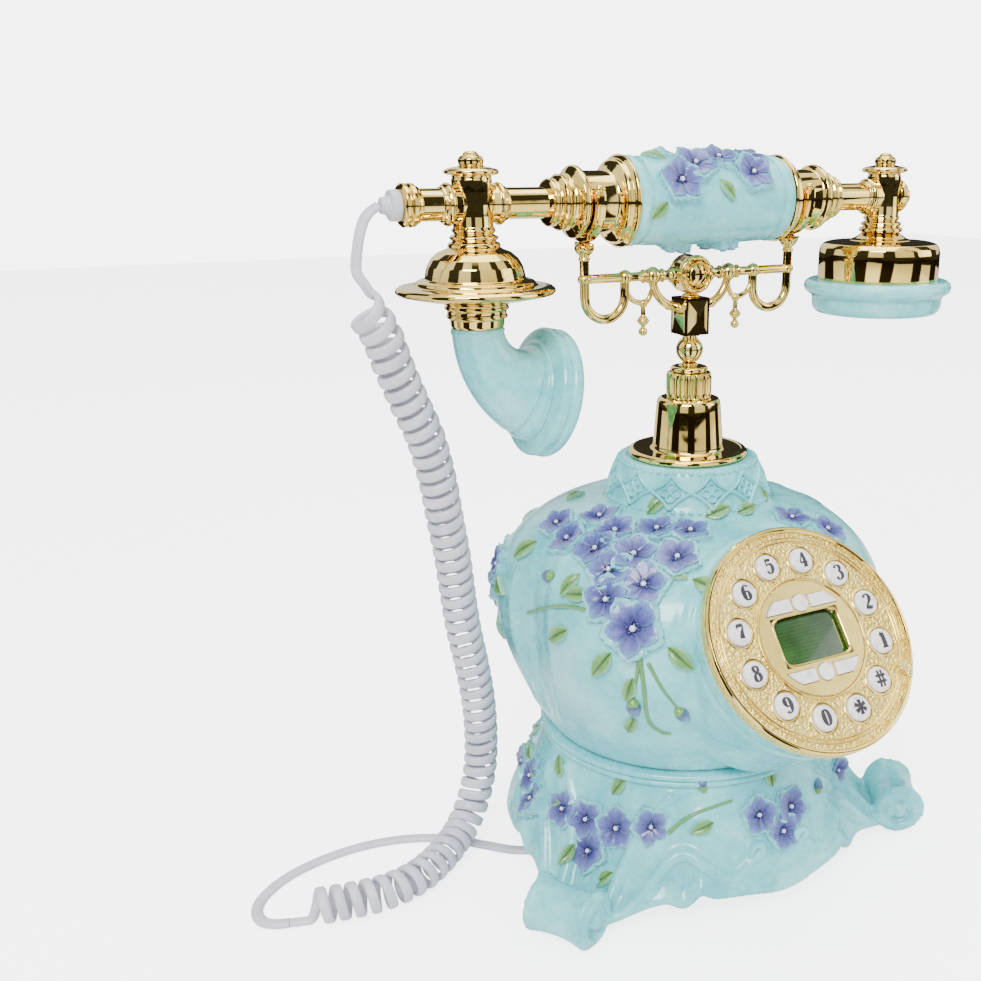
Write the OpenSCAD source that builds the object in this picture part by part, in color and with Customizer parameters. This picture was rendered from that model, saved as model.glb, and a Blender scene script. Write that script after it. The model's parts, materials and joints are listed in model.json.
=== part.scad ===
// Ornate push-button telephone: a cast resin body on three scroll feet, a tilted dial face,
// a gilt pillar with a sprung cradle, a gilt handset and a curly cord.
// Millimetres, +Z up. The floor is z = 0 and the dial looks towards -Y.

/* [Placement] */
// Pillar axis from the origin along X, which centres the whole telephone
pillar_x = -2.5; // [-10:0.5:10]
// Pillar axis from the origin along Y
pillar_y = 2; // [-10:0.5:10]

/* [Base casting] */
// Radius of the moulded ring where the belly meets the base
ring_r = 59.7; // [54:0.1:66]
// Height of the moulded ring
ring_z = 55; // [48:0.5:64]
// Roundness of the moulded ring
ring_bead = 2.3; // [1.2:0.1:3]
// Radius of the skirt at its open edge between the feet
skirt_r = 63; // [61:0.5:68]
// Height of the skirt edge above the floor between the feet
skirt_edge_z = 12.5; // [10:0.5:18]
// Depth of the scallops along the skirt edge
scallop = 1.6; // [0:0.1:2.5]
// Distance of each foot scroll from the pillar axis
scroll_reach = 94; // [88:0.5:100]
// Radius of each foot scroll
scroll_r = 11.3; // [9:0.1:13]
// Width of each foot scroll
scroll_w = 25; // [18:0.5:30]
// How narrow the feet are, a larger number being narrower
foot_narrowness = 6; // [4:1:9]
// Distance of the rubber pads from the pillar axis
pad_reach = 75; // [70:0.5:78]
// Radius of a rubber pad
pad_r = 5; // [3:0.1:6]
// Height of a rubber pad below the casting
pad_h = 2; // [1.5:0.1:4]

/* [Bottom plate] */
// Radius of the bottom plate
plate_r = 56; // [54:0.1:57]
// Thickness of the bottom plate
plate_t = 3; // [2:0.1:4]
// Height of the underside of the bottom plate
plate_z = 10; // [8:0.5:12]
// Clearance round a fitted part
fit_gap = 0.3; // [0.2:0.05:0.5]
// Radius of the clear well above the bottom plate
well_r = 52.5; // [50:0.1:53.5]
// Offset of each plate screw along X and Y
screw_pitch = 35; // [34:0.5:36]
// Shank radius of a plate screw
screw_r = 1.4; // [1:0.1:1.6]
// Head radius of a plate screw
screw_head_r = 2.6; // [2.2:0.1:3]
// Radius of the slotted ringer cover
ringer_r = 17; // [14:0.5:19]
// How far the ringer cover stands below the plate
ringer_h = 6.5; // [4:0.1:7.5]
// Distance of the ringer cover behind the pillar axis
ringer_y = 23; // [20:0.5:25]
// Slots across the ringer cover
ringer_slots = 9; // [5:2:11]
// Width of one slot or of one sound hole
slot_w = 1.4; // [1:0.1:1.8]

/* [Sockets and switches] */
// Distance of each telephone socket from the middle
jack_x = 28.5; // [26:0.5:31]
// Width of a socket opening
jack_w = 9.9; // [9.5:0.1:10.5]
// Height of a socket opening
jack_h = 6.9; // [6.5:0.1:7.5]
// Wall of a socket housing
jack_wall = 2; // [1.5:0.1:2.4]
// Depth of a socket opening
jack_depth = 11; // [9:0.5:13]
// Width of a slide switch slot
slide_w = 3; // [2.6:0.1:4]
// Travel of the two short slide switches
slide_travel = 2; // [1:0.1:2.2]
// Travel of the ringer slide switch
ringer_travel = 5; // [3:0.1:6]

/* [Belly casting] */
// Radius of the belly at the crown of a lobe
belly_r = 80; // [72:0.5:84]
// Height of the widest part of the belly
belly_z = 109; // [100:0.5:116]
// Depth of the valleys between the lobes, as a share of the radius
valley_depth = 0.13; // [0.04:0.01:0.16]
// Height of the shoulder at the foot of the patterned collar
shoulder_z = 150; // [146:0.5:154]
// Radius of the patterned collar at its foot
collar_foot_r = 32; // [30:0.5:34]
// Radius of the patterned collar at its top
collar_top_r = 25.8; // [25:0.1:28]
// Height of the top of the patterned collar
collar_top_z = 168.2; // [164:0.1:172]

/* [Dial] */
// How far the middle of the dial stands out beyond the widest circle of the belly
dial_out = 2.4; // [0:0.1:6]
// Height of the middle of the dial face
dial_z = 119.4; // [117:0.1:122]
// Lean of the dial face from upright
dial_tilt = 39.4; // [34:0.2:44]
// Radius of the dial plate
dial_r = 42.3; // [41:0.1:44]
// Thickness of the dial plate
dial_t = 3; // [2.4:0.1:4]
// Radius of the ring of number keys
key_ring_r = 29.2; // [28.5:0.1:30]
// Radius of a number key
key_r = 4.7; // [4:0.1:5]
// How far a key stands above the dial
key_rise = 1.7; // [1.4:0.1:3]
// Travel of a key
key_travel = 1.2; // [0.6:0.1:1.3]
// Clearance round a key
key_gap = 0.3; // [0.2:0.05:0.5]
// Radius of the centre disc
centre_r = 21.2; // [20.6:0.1:22]
// Width of the display window
window_w = 29.8; // [26:0.1:31]
// Height of the display window
window_h = 18.3; // [16:0.1:19]
// Height of the function keys
function_key_h = 4.6; // [4:0.1:5]

/* [Pillar and cradle] */
// Radius of the pillar flange
flange_r = 23.7; // [22:0.1:25]
// Thickness of the pillar flange
flange_t = 2.4; // [1.8:0.1:3]
// Foot radius of the pillar bell
bell_foot_r = 14.1; // [13:0.1:16]
// Top radius of the pillar bell
bell_top_r = 12.3; // [11.5:0.1:13]
// Height of the pillar bell above the flange
bell_h = 20.4; // [18:0.1:24]
// Radius of the knurled guide collar
guide_r = 8.85; // [8:0.05:10]
// Height of the knurled guide collar
guide_h = 10; // [8:0.1:12]
// Radius of the sliding stem
stem_r = 4.8; // [4:0.1:5.4]
// Radial running fit of the stem in its guide
stem_fit = 0.1; // [0.05:0.01:0.1]
// Rise of the cradle when the handset is lifted
hook_travel = 3; // [2:0.1:3.5]
// Height of the cradle bar
bar_z = 238.2; // [236:0.1:240]
// Radius of the cradle bar
bar_r = 1.8; // [1.5:0.05:2.2]
// Distance of each fork from the pillar axis
fork_x = 45.6; // [45:0.1:46.2]
// Width of a fork arm along the handset
fork_w = 4; // [3:0.1:4.2]
// Thickness of a fork arm
fork_t = 2.8; // [2.2:0.1:3.2]
// Radius of the hook rods
hook_rod_r = 1.75; // [1.4:0.05:2]
// Width of each hook between the middles of its rods
hook_span = 16.7; // [14:0.1:19]
// How far the middle of each hook's bend lies below the bar
hook_drop = 6.4; // [5:0.1:8]
// Side of the square block under the rosette
block_w = 10.6; // [9.5:0.1:12]
// Height of the square block
block_h = 14; // [12:0.1:15]
// Radius of the rosette
rosette_r = 7; // [6:0.1:8]

/* [Handset] */
// Height of the middle of the handset above the bar of the cradle
handset_rise = 26.8; // [24:0.1:30]
// How far the handset lies to the right of the pillar
handset_shift = 3; // [2:0.1:3.2]
// Half the length of the resin grip
grip_half = 33.8; // [30:0.1:34]
// Radius of the resin grip
grip_r = 15.7; // [15:0.1:17]
// Radius of the groove that lies in a fork
groove_r = 10.7; // [10:0.1:11]
// Inner end of each groove
groove_start = 40.2; // [38:0.1:40.2]
// Outer end of each groove
groove_end = 51.2; // [51.2:0.1:53]
// Radius of the handset tube
tube_r = 5.27; // [4.8:0.01:5.6]
// Distance of each tee from the middle of the handset
tee_x = 90.6; // [84:0.1:96]
// Radius of a tee barrel
tee_r = 6.8; // [6.4:0.1:7.4]
// Radius of the mouthpiece flange
mouth_flange_r = 27.3; // [25:0.1:29]
// Radius of the mouthpiece cup
cup_r = 23.2; // [21:0.1:25]
// Turn of the mouthpiece elbow
elbow_turn = 77; // [70:1:84]
// Bend radius of the mouthpiece elbow
elbow_bend = 24.5; // [23:0.5:27]
// Radius of the earpiece bell
ear_bell_r = 24.85; // [23:0.05:26]
// Height of the earpiece bell from its neck to the ring
ear_bell_h = 19.2; // [17:0.1:21]
// Radius of the earpiece roll
ear_roll_r = 30.4; // [29:0.1:32]

/* [Cord] */
// Curls of the cord
curls = 56; // [40:1:64]
// Radius of the middle of each curl
curl_r = 5.9; // [5:0.1:6.2]
// Width of the flat cord
cord_w = 3.4; // [2.6:0.1:3.6]
// Thickness of the flat cord
cord_t = 2.2; // [1.8:0.1:2.4]

/* [Hidden] */
dial_y = belly_r + dial_out;
handset_z = bar_z + handset_rise;
hook_bend_z = bar_z - hook_drop;
$fn = 64;

// A small overlap that joins the solids of one node, and the reach of a cut past a face
weld = 0.2;
past = 1;
sides = 72; // facets round the two castings

// ---- Shared shapes ---------------------------------------------------------------------------

module place() translate([pillar_x, pillar_y, 0]) children();

// The dial's own frame: +Z out of the face, +Y up the slope, origin in the middle of the face
module dial_frame() place() translate([0, -dial_y, dial_z]) rotate([90 - dial_tilt, 0, 0]) children();

module handset_frame() place() translate([handset_shift, 0, handset_z]) children();

// Turns a solid of revolution so that its axis lies along +X
module along_x() rotate([0, 90, 0]) children();

module ring_of(outer, inner, h) difference() {
    cylinder(r = outer, h = h);
    translate([0, 0, -past]) cylinder(r = inner, h = h + 2 * past);
}

module slab(w, d, h) translate([-w / 2, -d / 2, 0]) cube([w, d, h]);

// Triangles of a skin over rows of equal length, with a flat cap at each end
function skin_faces(rows, cols) = concat(
    [for (k = [0 : rows - 2], i = [0 : cols - 1]) each [
        [k * cols + i, (k + 1) * cols + (i + 1) % cols, k * cols + (i + 1) % cols],
        [k * cols + i, (k + 1) * cols + i, (k + 1) * cols + (i + 1) % cols]]],
    [[for (i = [0 : cols - 1]) i]],
    [[for (i = [cols - 1 : -1 : 0]) (rows - 1) * cols + i]]);

// A closed skin of revolution whose rows are given for every angle as [radius, height]
module turned_skin(rows, cols) {
    points = [for (row = rows, i = [0 : cols - 1])
        let (a = 360 * i / cols, p = row[i]) [p[0] * cos(a), p[0] * sin(a), p[1]]];
    polyhedron(points, skin_faces(len(rows), cols), convexity = 6);
}

// ---- Base casting, bottom plate and what it carries -----------------------------------------------

joint_z = ring_z + ring_bead;      // where belly and base meet
skirt_top_r = ring_r - 1.6;        // radius just under the ring
foot_tip_r = scroll_reach - 4;     // where the foot sole runs into the scroll
plate_top_z = plate_z + plate_t;
foot_angles = [90, 210, 330];

function foot_share(a) = pow((1 + cos(3 * (a - foot_angles[0]))) / 2, foot_narrowness);
function edge_r(a) = skirt_r + (foot_tip_r - skirt_r) * foot_share(a);
function edge_z(a) = let (w = foot_share(a))
    pad_h * w + (skirt_edge_z + scallop * cos(12 * (a - foot_angles[0]))) * (1 - w);
// The flank runs straight between the feet and sweeps out in a hollow curve over each foot
function flank(a, s) = let (w = foot_share(a)) [
    skirt_top_r + (edge_r(a) - skirt_top_r) * (w * pow(s, 1.9) + (1 - w) * s),
    ring_z - ring_bead + (edge_z(a) - ring_z + ring_bead) * s];

module base_casting() color("paleturquoise") place() {
    ring_rows = [[ring_r, ring_z - 0.75 * ring_bead], [ring_r + 0.5 * ring_bead, ring_z],
        [ring_r, ring_z + 0.75 * ring_bead], [skirt_top_r - 1, joint_z]];
    steps = 9;
    rows = concat(
        [[for (i = [0 : sides - 1]) [well_r - 14, ring_z / 2]]],
        [[for (i = [0 : sides - 1]) [well_r - 4, edge_z(360 * i / sides)]]],
        [for (k = [0 : steps]) [for (i = [0 : sides - 1]) flank(360 * i / sides, 1 - k / steps)]],
        [for (p = ring_rows) [for (i = [0 : sides - 1]) p]]);
    difference() {
        turned_skin(rows, sides);
        translate([0, 0, -past]) cylinder(r = well_r, h = joint_z + 2 * past);
        translate([0, 0, -past]) cylinder(r = plate_r + fit_gap, h = plate_top_z + past);
    }
    for (a = foot_angles) rotate([0, 0, a]) translate([scroll_reach, scroll_w / 2, scroll_r + 0.8])
        rotate([90, 0, 0]) cylinder(r = scroll_r, h = scroll_w);
    for (x = [-1, 1], y = [-1, 1]) translate([x * screw_pitch, y * screw_pitch, plate_top_z])
        difference() {
            cylinder(r = boss_r, h = boss_h, $fn = 32);
            translate([0, 0, -past]) cylinder(r = screw_r, h = boss_h, $fn = 32);
        }
}

boss_r = well_r - screw_pitch * sqrt(2) + 0.6; // the screw bosses reach the wall of the well
boss_h = 22;

module rubber_feet() color("dimgray") place()
    for (a = foot_angles) rotate([0, 0, a]) translate([pad_reach, 0, 0]) cylinder(r = pad_r, h = pad_h);

board_z = plate_top_z + 11;
board_t = 1.6;
board_w = 54;
board_d = 44;
post_r = 2.5;
post_x = board_w / 2 - post_r;
post_y = board_d / 2 - post_r;
jack_y = 3.3;
jack_outer_w = jack_w + 2 * jack_wall;
plug_z = plate_z + jack_wall + jack_h / 2;  // height of the plug in the handset socket
plug_x = -30;                               // where the lead enters the plug
plug_l = 13;
slot_start_x = -plate_r - past;             // the slot for the lead is open at the rim
slot_end_x = -jack_x + 2.5 + jack_depth + jack_wall + fit_gap;
slide_at = [[-31, 20.5, 9], [32.6, -11, 5], [-32.7, -11.6, 5]]; // middle and length of each slot
hole_rings = [[16, 12], [8, 5.7]]; // holes and radius of each ring of sound holes
sound_y = -15;

module bottom_plate() color([0.14, 0.13, 0.15]) place() {
    difference() {
        translate([0, 0, plate_z]) cylinder(r = plate_r, h = plate_t);
        translate([0, ringer_y, plate_z - past]) cylinder(r = ringer_r - 3, h = plate_t + 2 * past);
        translate([slot_start_x, jack_y - jack_outer_w / 2 - fit_gap, plate_z - past])
            cube([slot_end_x - slot_start_x, jack_outer_w + 2 * fit_gap, plate_t + 2 * past]);
        translate([jack_x, jack_y, plate_z - past])
            slab(jack_outer_w + 2 * fit_gap, jack_h + 2 * jack_wall + 2 * fit_gap, plate_t + 2 * past);
        for (s = slide_at) translate([s[0], s[1], plate_z - past]) slab(slide_w, s[2], plate_t + 2 * past);
        for (x = [-1, 1], y = [-1, 1]) translate([x * screw_pitch, y * screw_pitch, plate_z - past])
            cylinder(r = screw_r + fit_gap, h = plate_t + 2 * past, $fn = 32);
        for (h = hole_rings, i = [0 : h[0] - 1]) rotate_about(sound_y, 360 * i / h[0])
            translate([h[1], 0, plate_z - past]) cylinder(d = slot_w, h = plate_t + 2 * past, $fn = 16);
    }
    for (x = [-1, 1], y = [-1, 1]) translate([x * post_x, y * post_y, plate_top_z - weld])
        cylinder(r = post_r, h = board_z - plate_top_z + weld, $fn = 32);
}

module rotate_about(y, a) translate([0, y, 0]) rotate([0, 0, a]) children();

module bottom_screws() color("silver") place()
    for (x = [-1, 1], y = [-1, 1]) translate([x * screw_pitch, y * screw_pitch, plate_z]) {
        translate([0, 0, -1.4]) difference() {
            cylinder(r = screw_head_r, h = 1.4, $fn = 32);
            for (a = [0, 90]) rotate([0, 0, a]) translate([0, 0, -past]) slab(3, 0.8, past + 0.8);
        }
        translate([0, 0, -weld]) cylinder(r = screw_r - 0.05, h = plate_t + 9, $fn = 32);
    }

module ringer_cover() color([0.12, 0.11, 0.13]) place() translate([0, ringer_y, plate_z - ringer_h])
    difference() {
        cylinder(r = ringer_r, h = ringer_h);
        translate([0, 0, 1.8]) cylinder(r = ringer_r - 1.8, h = ringer_h);
        for (i = [0 : ringer_slots - 1]) let (y = (i - (ringer_slots - 1) / 2) * 2.1 * slot_w)
            translate([0, y, -past])
                slab(2 * sqrt(pow(ringer_r - 2.6, 2) - y * y), slot_w, 1.8 + 2 * past);
    }

// A small moving-coil speaker with its magnet
module speaker(r) {
    cylinder(r = r, h = 3.5);
    translate([0, 0, 3.5 - weld]) cylinder(r = r * 0.5, h = 3.5);
}

module ringer_speaker() color("gray") place() translate([0, ringer_y, plate_top_z]) speaker(ringer_r - 1);

module handsfree_speaker() color("gray") place() translate([0, sound_y, plate_top_z]) speaker(14);

// A telephone socket with its opening towards -Z
module socket() difference() {
    slab(jack_outer_w, jack_h + 2 * jack_wall, jack_depth + jack_wall);
    translate([0, 0, -past]) slab(jack_w, jack_h, jack_depth + past);
}

module handset_jack() color("black") place()
    translate([-jack_x + 2.5, jack_y, plug_z]) rotate([0, 90, 0]) rotate([0, 0, 90]) socket();

module line_jack() color("black") place()
    translate([jack_x, jack_y, board_z - jack_depth - jack_wall]) socket();

module main_board() color("darkgreen") place() translate([0, 0, board_z]) slab(board_w, board_d, board_t);

module slide_knob(s, travel) color("black") place() translate([s[0], s[1] - travel / 2, 0]) {
    translate([0, 0, plate_z + 0.6]) slab(slide_w - 2 * fit_gap, s[2] - travel - 2 * fit_gap, plate_t);
    translate([0, 0, plate_top_z + fit_gap]) slab(slide_w + 2.4, s[2], 1.2);
}

module ringer_slide() slide_knob(slide_at[0], ringer_travel);
module tone_slide() slide_knob(slide_at[1], slide_travel);
module flash_slide() slide_knob(slide_at[2], slide_travel);

// ---- Belly casting --------------------------------------------------------------------------------

waist_r = skirt_top_r - 1.2;
top_z = collar_top_z;
nozzle_front_r = dial_r - 1.2;
nozzle_bore_r = 36;
nozzle_depth = 46;
cavity_top_z = shoulder_z - 4;
stem_bore_r = stem_r + 0.5;

// 0 on the crown of a lobe and 1 in a valley; the four valleys lie on the X and Y axes
function valley(a) = pow((1 + cos(4 * a)) / 2, 1.6);
function lower_row(u) = [waist_r + (belly_r - waist_r) * pow(sin(90 * u), 0.8),
    joint_z + (belly_z - joint_z) * u];
function upper_row(t) = [collar_foot_r + 1.5 + (belly_r - collar_foot_r - 1.5) * cos(t),
    belly_z + (shoulder_z - belly_z) * sin(t)];
function hollow(z) = z > shoulder_z ? 0 : sin(180 * (z - joint_z) / (shoulder_z - joint_z));
function lobed(p, a) = [p[0] * (1 - valley_depth * hollow(p[1]) * valley(a)), p[1]];

module belly_casting() color("paleturquoise") place() {
    outline = concat(
        [for (u = [0, 0.06, 0.18, 0.34, 0.52, 0.72, 0.88]) lower_row(u)],
        [for (t = [0 : 12 : 84]) upper_row(t)],
        [[collar_foot_r + 1.6, shoulder_z + 0.4], [collar_foot_r + 1.4, shoulder_z + 2],
         [collar_foot_r, shoulder_z + 2.8], [collar_top_r + 1, top_z - 1.2], [collar_top_r, top_z]]);
    rows = [for (p = outline) [for (i = [0 : sides - 1]) lobed(p, 360 * i / sides)]];
    difference() {
        union() {
            turned_skin(rows, sides);
            translate([0, -dial_y, dial_z]) rotate([90 - dial_tilt, 0, 0])
                translate([0, 0, -dial_t - nozzle_depth]) {
                    cylinder(r1 = nozzle_bore_r + 1.5, r2 = nozzle_front_r, h = nozzle_depth);
                    translate([0, 0, -10]) cylinder(r1 = 26, r2 = nozzle_bore_r + 1.5, h = 10 + weld);
                }
        }
        translate([0, -dial_y, dial_z]) rotate([90 - dial_tilt, 0, 0]) {
            translate([0, 0, -dial_t - 22]) cylinder(r = nozzle_bore_r, h = 22 + past);
            translate([0, 0, -dial_t - nozzle_depth - 8]) cylinder(r = 22, h = nozzle_depth);
        }
        rotate_extrude() polygon([[0, joint_z - past], [well_r, joint_z - past], [well_r, joint_z + 6],
            [belly_r * 0.76, belly_z - 18], [belly_r * 0.76, belly_z + 4], [belly_r * 0.6, belly_z + 20],
            [26, cavity_top_z], [0, cavity_top_z]]);
        translate([0, 0, cavity_top_z - past]) cylinder(r = stem_bore_r, h = top_z);
    }
}

// ---- Dial -----------------------------------------------------------------------------------------

key_flange = 0.9;      // width of the flange that keeps a key in its hole
key_flange_t = 1;
keypad_z = -8.6;       // front face of the keypad board below the dial face
key_angles = [for (i = [0 : 11]) -15 + 30 * i];
stop_angle = -30;
window_y = 0.3;
function_y = window_h / 2 + window_y + 1.2;
split_x = 4.3;         // where the middle function key ends and the outer ones begin

module dial_plate() color("khaki") dial_frame() {
    difference() {
        union() {
            translate([0, 0, -dial_t]) cylinder(r = dial_r, h = dial_t);
            translate([0, 0, -weld]) ring_of(dial_r - 0.3, dial_r - 2.2, 1 + weld);
        }
        for (a = key_angles) rotate([0, 0, a]) translate([key_ring_r, 0, -dial_t - past])
            cylinder(r = key_r + key_gap, h = dial_t + 3 * past);
        translate([0, 0, -dial_t - past]) cylinder(r = centre_r + 0.05, h = dial_t + 3 * past);
    }
    // the little finger stop at the rim
    rotate([0, 0, stop_angle]) translate([0, 0, -weld]) linear_extrude(1.6 + weld)
        polygon([[key_ring_r + 4.6, 0.3], [dial_r - 0.8, 3.6], [dial_r - 0.8, -3.6]]);
    for (a = [30, 150, 270]) rotate([0, 0, a]) translate([dial_r - 9.2, 0, keypad_z])
        cylinder(r = 2, h = -keypad_z - dial_t + weld, $fn = 32);
}

// The outer function keys fill the space between the window and the round edge of the disc
module function_slot(grow) intersection() {
    circle(r = centre_r - 2.4 + grow);
    translate([split_x - grow, function_y - grow]) square([centre_r, function_key_h + 2 * grow]);
}

module round_slot(grow) translate([0, function_y + function_key_h / 2]) circle(r = 3.1 + grow);

module dial_centre() color("khaki") dial_frame() difference() {
    translate([0, 0, -dial_t]) cylinder(r = centre_r, h = dial_t + 0.6);
    translate([0, window_y, -dial_t - past]) slab(window_w, window_h, dial_t + 3 * past);
    for (m = [0, 180]) rotate([0, 0, m]) translate([0, 0, -dial_t - past]) linear_extrude(dial_t + 3 * past) {
        round_slot(key_gap);
        function_slot(key_gap);
        mirror([1, 0]) function_slot(key_gap);
    }
}

window_gap = 0.4;  // kept round the clear window in its frame
module lcd_window() color([0.25, 0.43, 0.19, 0.9]) dial_frame()
    translate([0, window_y, keypad_z])
        slab(window_w - window_gap, window_h - window_gap, -keypad_z - 1.6);

module keypad_board() color("darkgreen") dial_frame()
    translate([0, 0, keypad_z - board_t]) cylinder(r = nozzle_bore_r - 1, h = board_t);

module number_key(i) color("whitesmoke") dial_frame() rotate([0, 0, key_angles[i]])
    translate([key_ring_r, 0, 0]) {
        translate([0, 0, -dial_t - key_gap]) cylinder(r = key_r, h = dial_t + key_gap + key_rise - 0.5);
        translate([0, 0, key_rise - 0.5 - weld]) cylinder(r1 = key_r, r2 = key_r - 0.9, h = 0.5 + weld);
        translate([0, 0, -dial_t - key_gap - key_flange_t]) cylinder(r = key_r + key_flange, h = key_flange_t);
        translate([0, 0, keypad_z + key_travel + 0.2])
            cylinder(r = 2, h = -keypad_z - dial_t - key_gap - key_travel, $fn = 32);
    }

// turn 0 is the upper row and 180 the lower; side -1, 0 or 1 is left, middle or right
module function_key(turn, side) color("whitesmoke") dial_frame() rotate([0, 0, turn]) {
    translate([0, 0, -dial_t]) linear_extrude(dial_t + 1.2) function_shape(side, 0);
    translate([0, 0, keypad_z + key_travel + 0.2])
        linear_extrude(-keypad_z - dial_t - key_travel) function_shape(side, -0.8);
}

module function_shape(side, grow)
    if (side == 0) round_slot(grow);
    else mirror([side < 0 ? 1 : 0, 0]) function_slot(grow);

// ---- Pillar ---------------------------------------------------------------------------------------

flange_top_z = collar_top_z + flange_t;
bell_top_z = flange_top_z + bell_h;
guide_top_z = bell_top_z + guide_h;
stem_foot_z = cavity_top_z + 10;

module pillar_base() color("gold") place() rotate_extrude() polygon([
    [stem_bore_r, collar_top_z], [flange_r - 0.6, collar_top_z], [flange_r, collar_top_z + 0.6],
    [flange_r, flange_top_z - 0.8], [flange_r - 0.8, flange_top_z], [bell_foot_r + 0.5, flange_top_z],
    [bell_foot_r, flange_top_z + 0.6], [bell_top_r + 0.1, bell_top_z - 1.4],
    [bell_top_r - 0.5, bell_top_z - 0.4], [bell_top_r - 1.8, bell_top_z], [stem_bore_r, bell_top_z]]);

flutes = 28;
module knurled_collar() color("gold") place() translate([0, 0, bell_top_z]) difference() {
    linear_extrude(guide_h) polygon([for (i = [0 : 2 * flutes - 1])
        let (a = 180 * i / flutes, r = guide_r - (i % 2) * 0.55) [r * cos(a), r * sin(a)]]);
    translate([0, 0, -past]) cylinder(r = stem_r + stem_fit, h = guide_h + 2 * past);
}

module hook_spring() color("silver") place() translate([0, 0, cavity_top_z])
    ring_of(stem_r - 0.6, stem_r - 1.6, stem_foot_z - cavity_top_z);

module hook_switch() color("black") place() translate([0, 0, cavity_top_z - 8]) slab(18, 8, 8);

// ---- Cradle ---------------------------------------------------------------------------------------

cap_z = guide_top_z + fit_gap;
cap_h = 2;
ball_r = 5.3;
ball_z = cap_z + cap_h + 6.2;
block_z = bar_z - rosette_r - 1.6 - block_h;
neck_r = 2.7;
rosette_d = 8;
bead_r = 3.3;
small_bead_r = 2.6;
bead_x = 17.1;
small_bead_x = fork_x - hook_span; // a small bead sits over the inner rod of each hook

module cradle_stem() color("gold") place() {
    translate([0, 0, stem_foot_z]) cylinder(r = stem_r, h = cap_z - stem_foot_z + weld);
    rotate_extrude() polygon([[0, cap_z], [7.3, cap_z], [7.3, cap_z + 1.1], [6.4, cap_z + cap_h],
        [3.4, cap_z + cap_h + 0.2], [3.1, cap_z + cap_h + 1.4], [0, cap_z + cap_h + 1.4]]);
    translate([0, 0, cap_z + cap_h]) cylinder(r = neck_r + 0.3, h = ball_z - cap_z - cap_h);
    translate([0, 0, ball_z]) sphere(r = ball_r);
    translate([0, 0, ball_z]) cylinder(r = neck_r, h = block_z - ball_z + weld);
    translate([0, 0, block_z]) slab(block_w, block_w, block_h);
    // low pyramids on the four faces
    for (a = [0 : 90 : 270]) rotate([0, 0, a]) translate([block_w / 2 - weld, 0, block_z + block_h / 2])
        scale([1, 1, block_h / block_w]) rotate([45, 0, 0]) rotate([0, 90, 0])
            cylinder(r1 = block_w / sqrt(2) - 0.2, r2 = 0, h = 1.9 + weld, $fn = 4);
    translate([0, 0, block_z + block_h - weld]) cylinder(r = neck_r, h = 2.2);
}

// Half of what is the same on both sides of the cradle
module cradle_half() {
    translate([rosette_r - 2, 0, bar_z]) along_x() cylinder(r = bar_r, h = fork_x - hook_rod_r - rosette_r + 2.5);
    translate([rosette_r - 0.6, 0, bar_z]) along_x() cylinder(r = bar_r + 0.8, h = 3);
    translate([bead_x, 0, bar_z]) sphere(r = bead_r);
    for (x = [-1, 1]) translate([bead_x + x * (bead_r + 0.4) - 0.5, 0, bar_z]) along_x()
        cylinder(r = bar_r + 0.6, h = 1);
    // the quarter arc from the bead down to the block
    arc_r = bead_x - block_w / 2 + 0.4;
    translate([block_w / 2 - 0.4, 0, bar_z]) rotate([-90, 0, 0]) rotate_extrude(angle = 90)
        translate([arc_r, 0]) circle(r = 1.6, $fn = 24);
    // the pendant hangs on a short fork between the arc and the hook
    joint = [21, 0, bar_z - 10];
    translate(joint) sphere(r = 1.5, $fn = 24);
    slanted(joint, [small_bead_x - 0.7, 0, bar_z - 5.4], 0.95);
    slanted(joint, [bead_x + 0.2, 0, bar_z - 5.4], 0.95);
    translate([joint[0], 0, joint[2] - 10.2]) cylinder(r = 0.9, h = 10.2, $fn = 24);
    translate([joint[0], 0, joint[2] - 6.6]) cylinder(r1 = 0.6, r2 = 2.3, h = 1.7, $fn = 24);
    translate([joint[0], 0, joint[2] - 10.4]) sphere(r = 1.75, $fn = 24);
}

// A rod in the X-Z plane between two points
module slanted(a, b, r) translate(a) rotate([0, atan2(b[0] - a[0], b[2] - a[2]), 0])
    cylinder(r = r, h = norm(b - a), $fn = 24);

module cradle_bar() color("gold") place() {
    translate([0, rosette_d / 2, bar_z]) rotate([90, 0, 0]) cylinder(r = rosette_r, h = rosette_d);
    for (m = [0, 180]) rotate([0, 0, m]) translate([0, -rosette_d / 2, bar_z]) rotate([90, 0, 0]) {
        translate([0, 0, -weld]) ring_of(rosette_r + 0.2, rosette_r - 1.6, 0.9 + weld);
        translate([0, 0, -2.6]) sphere(r = 5);
    }
    cradle_half();
    mirror([1, 0, 0]) cradle_half();
}

fork_inner_r = groove_r + fit_gap;
fork_foot_z = handset_z - fork_inner_r - fork_t + 0.3;

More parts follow.
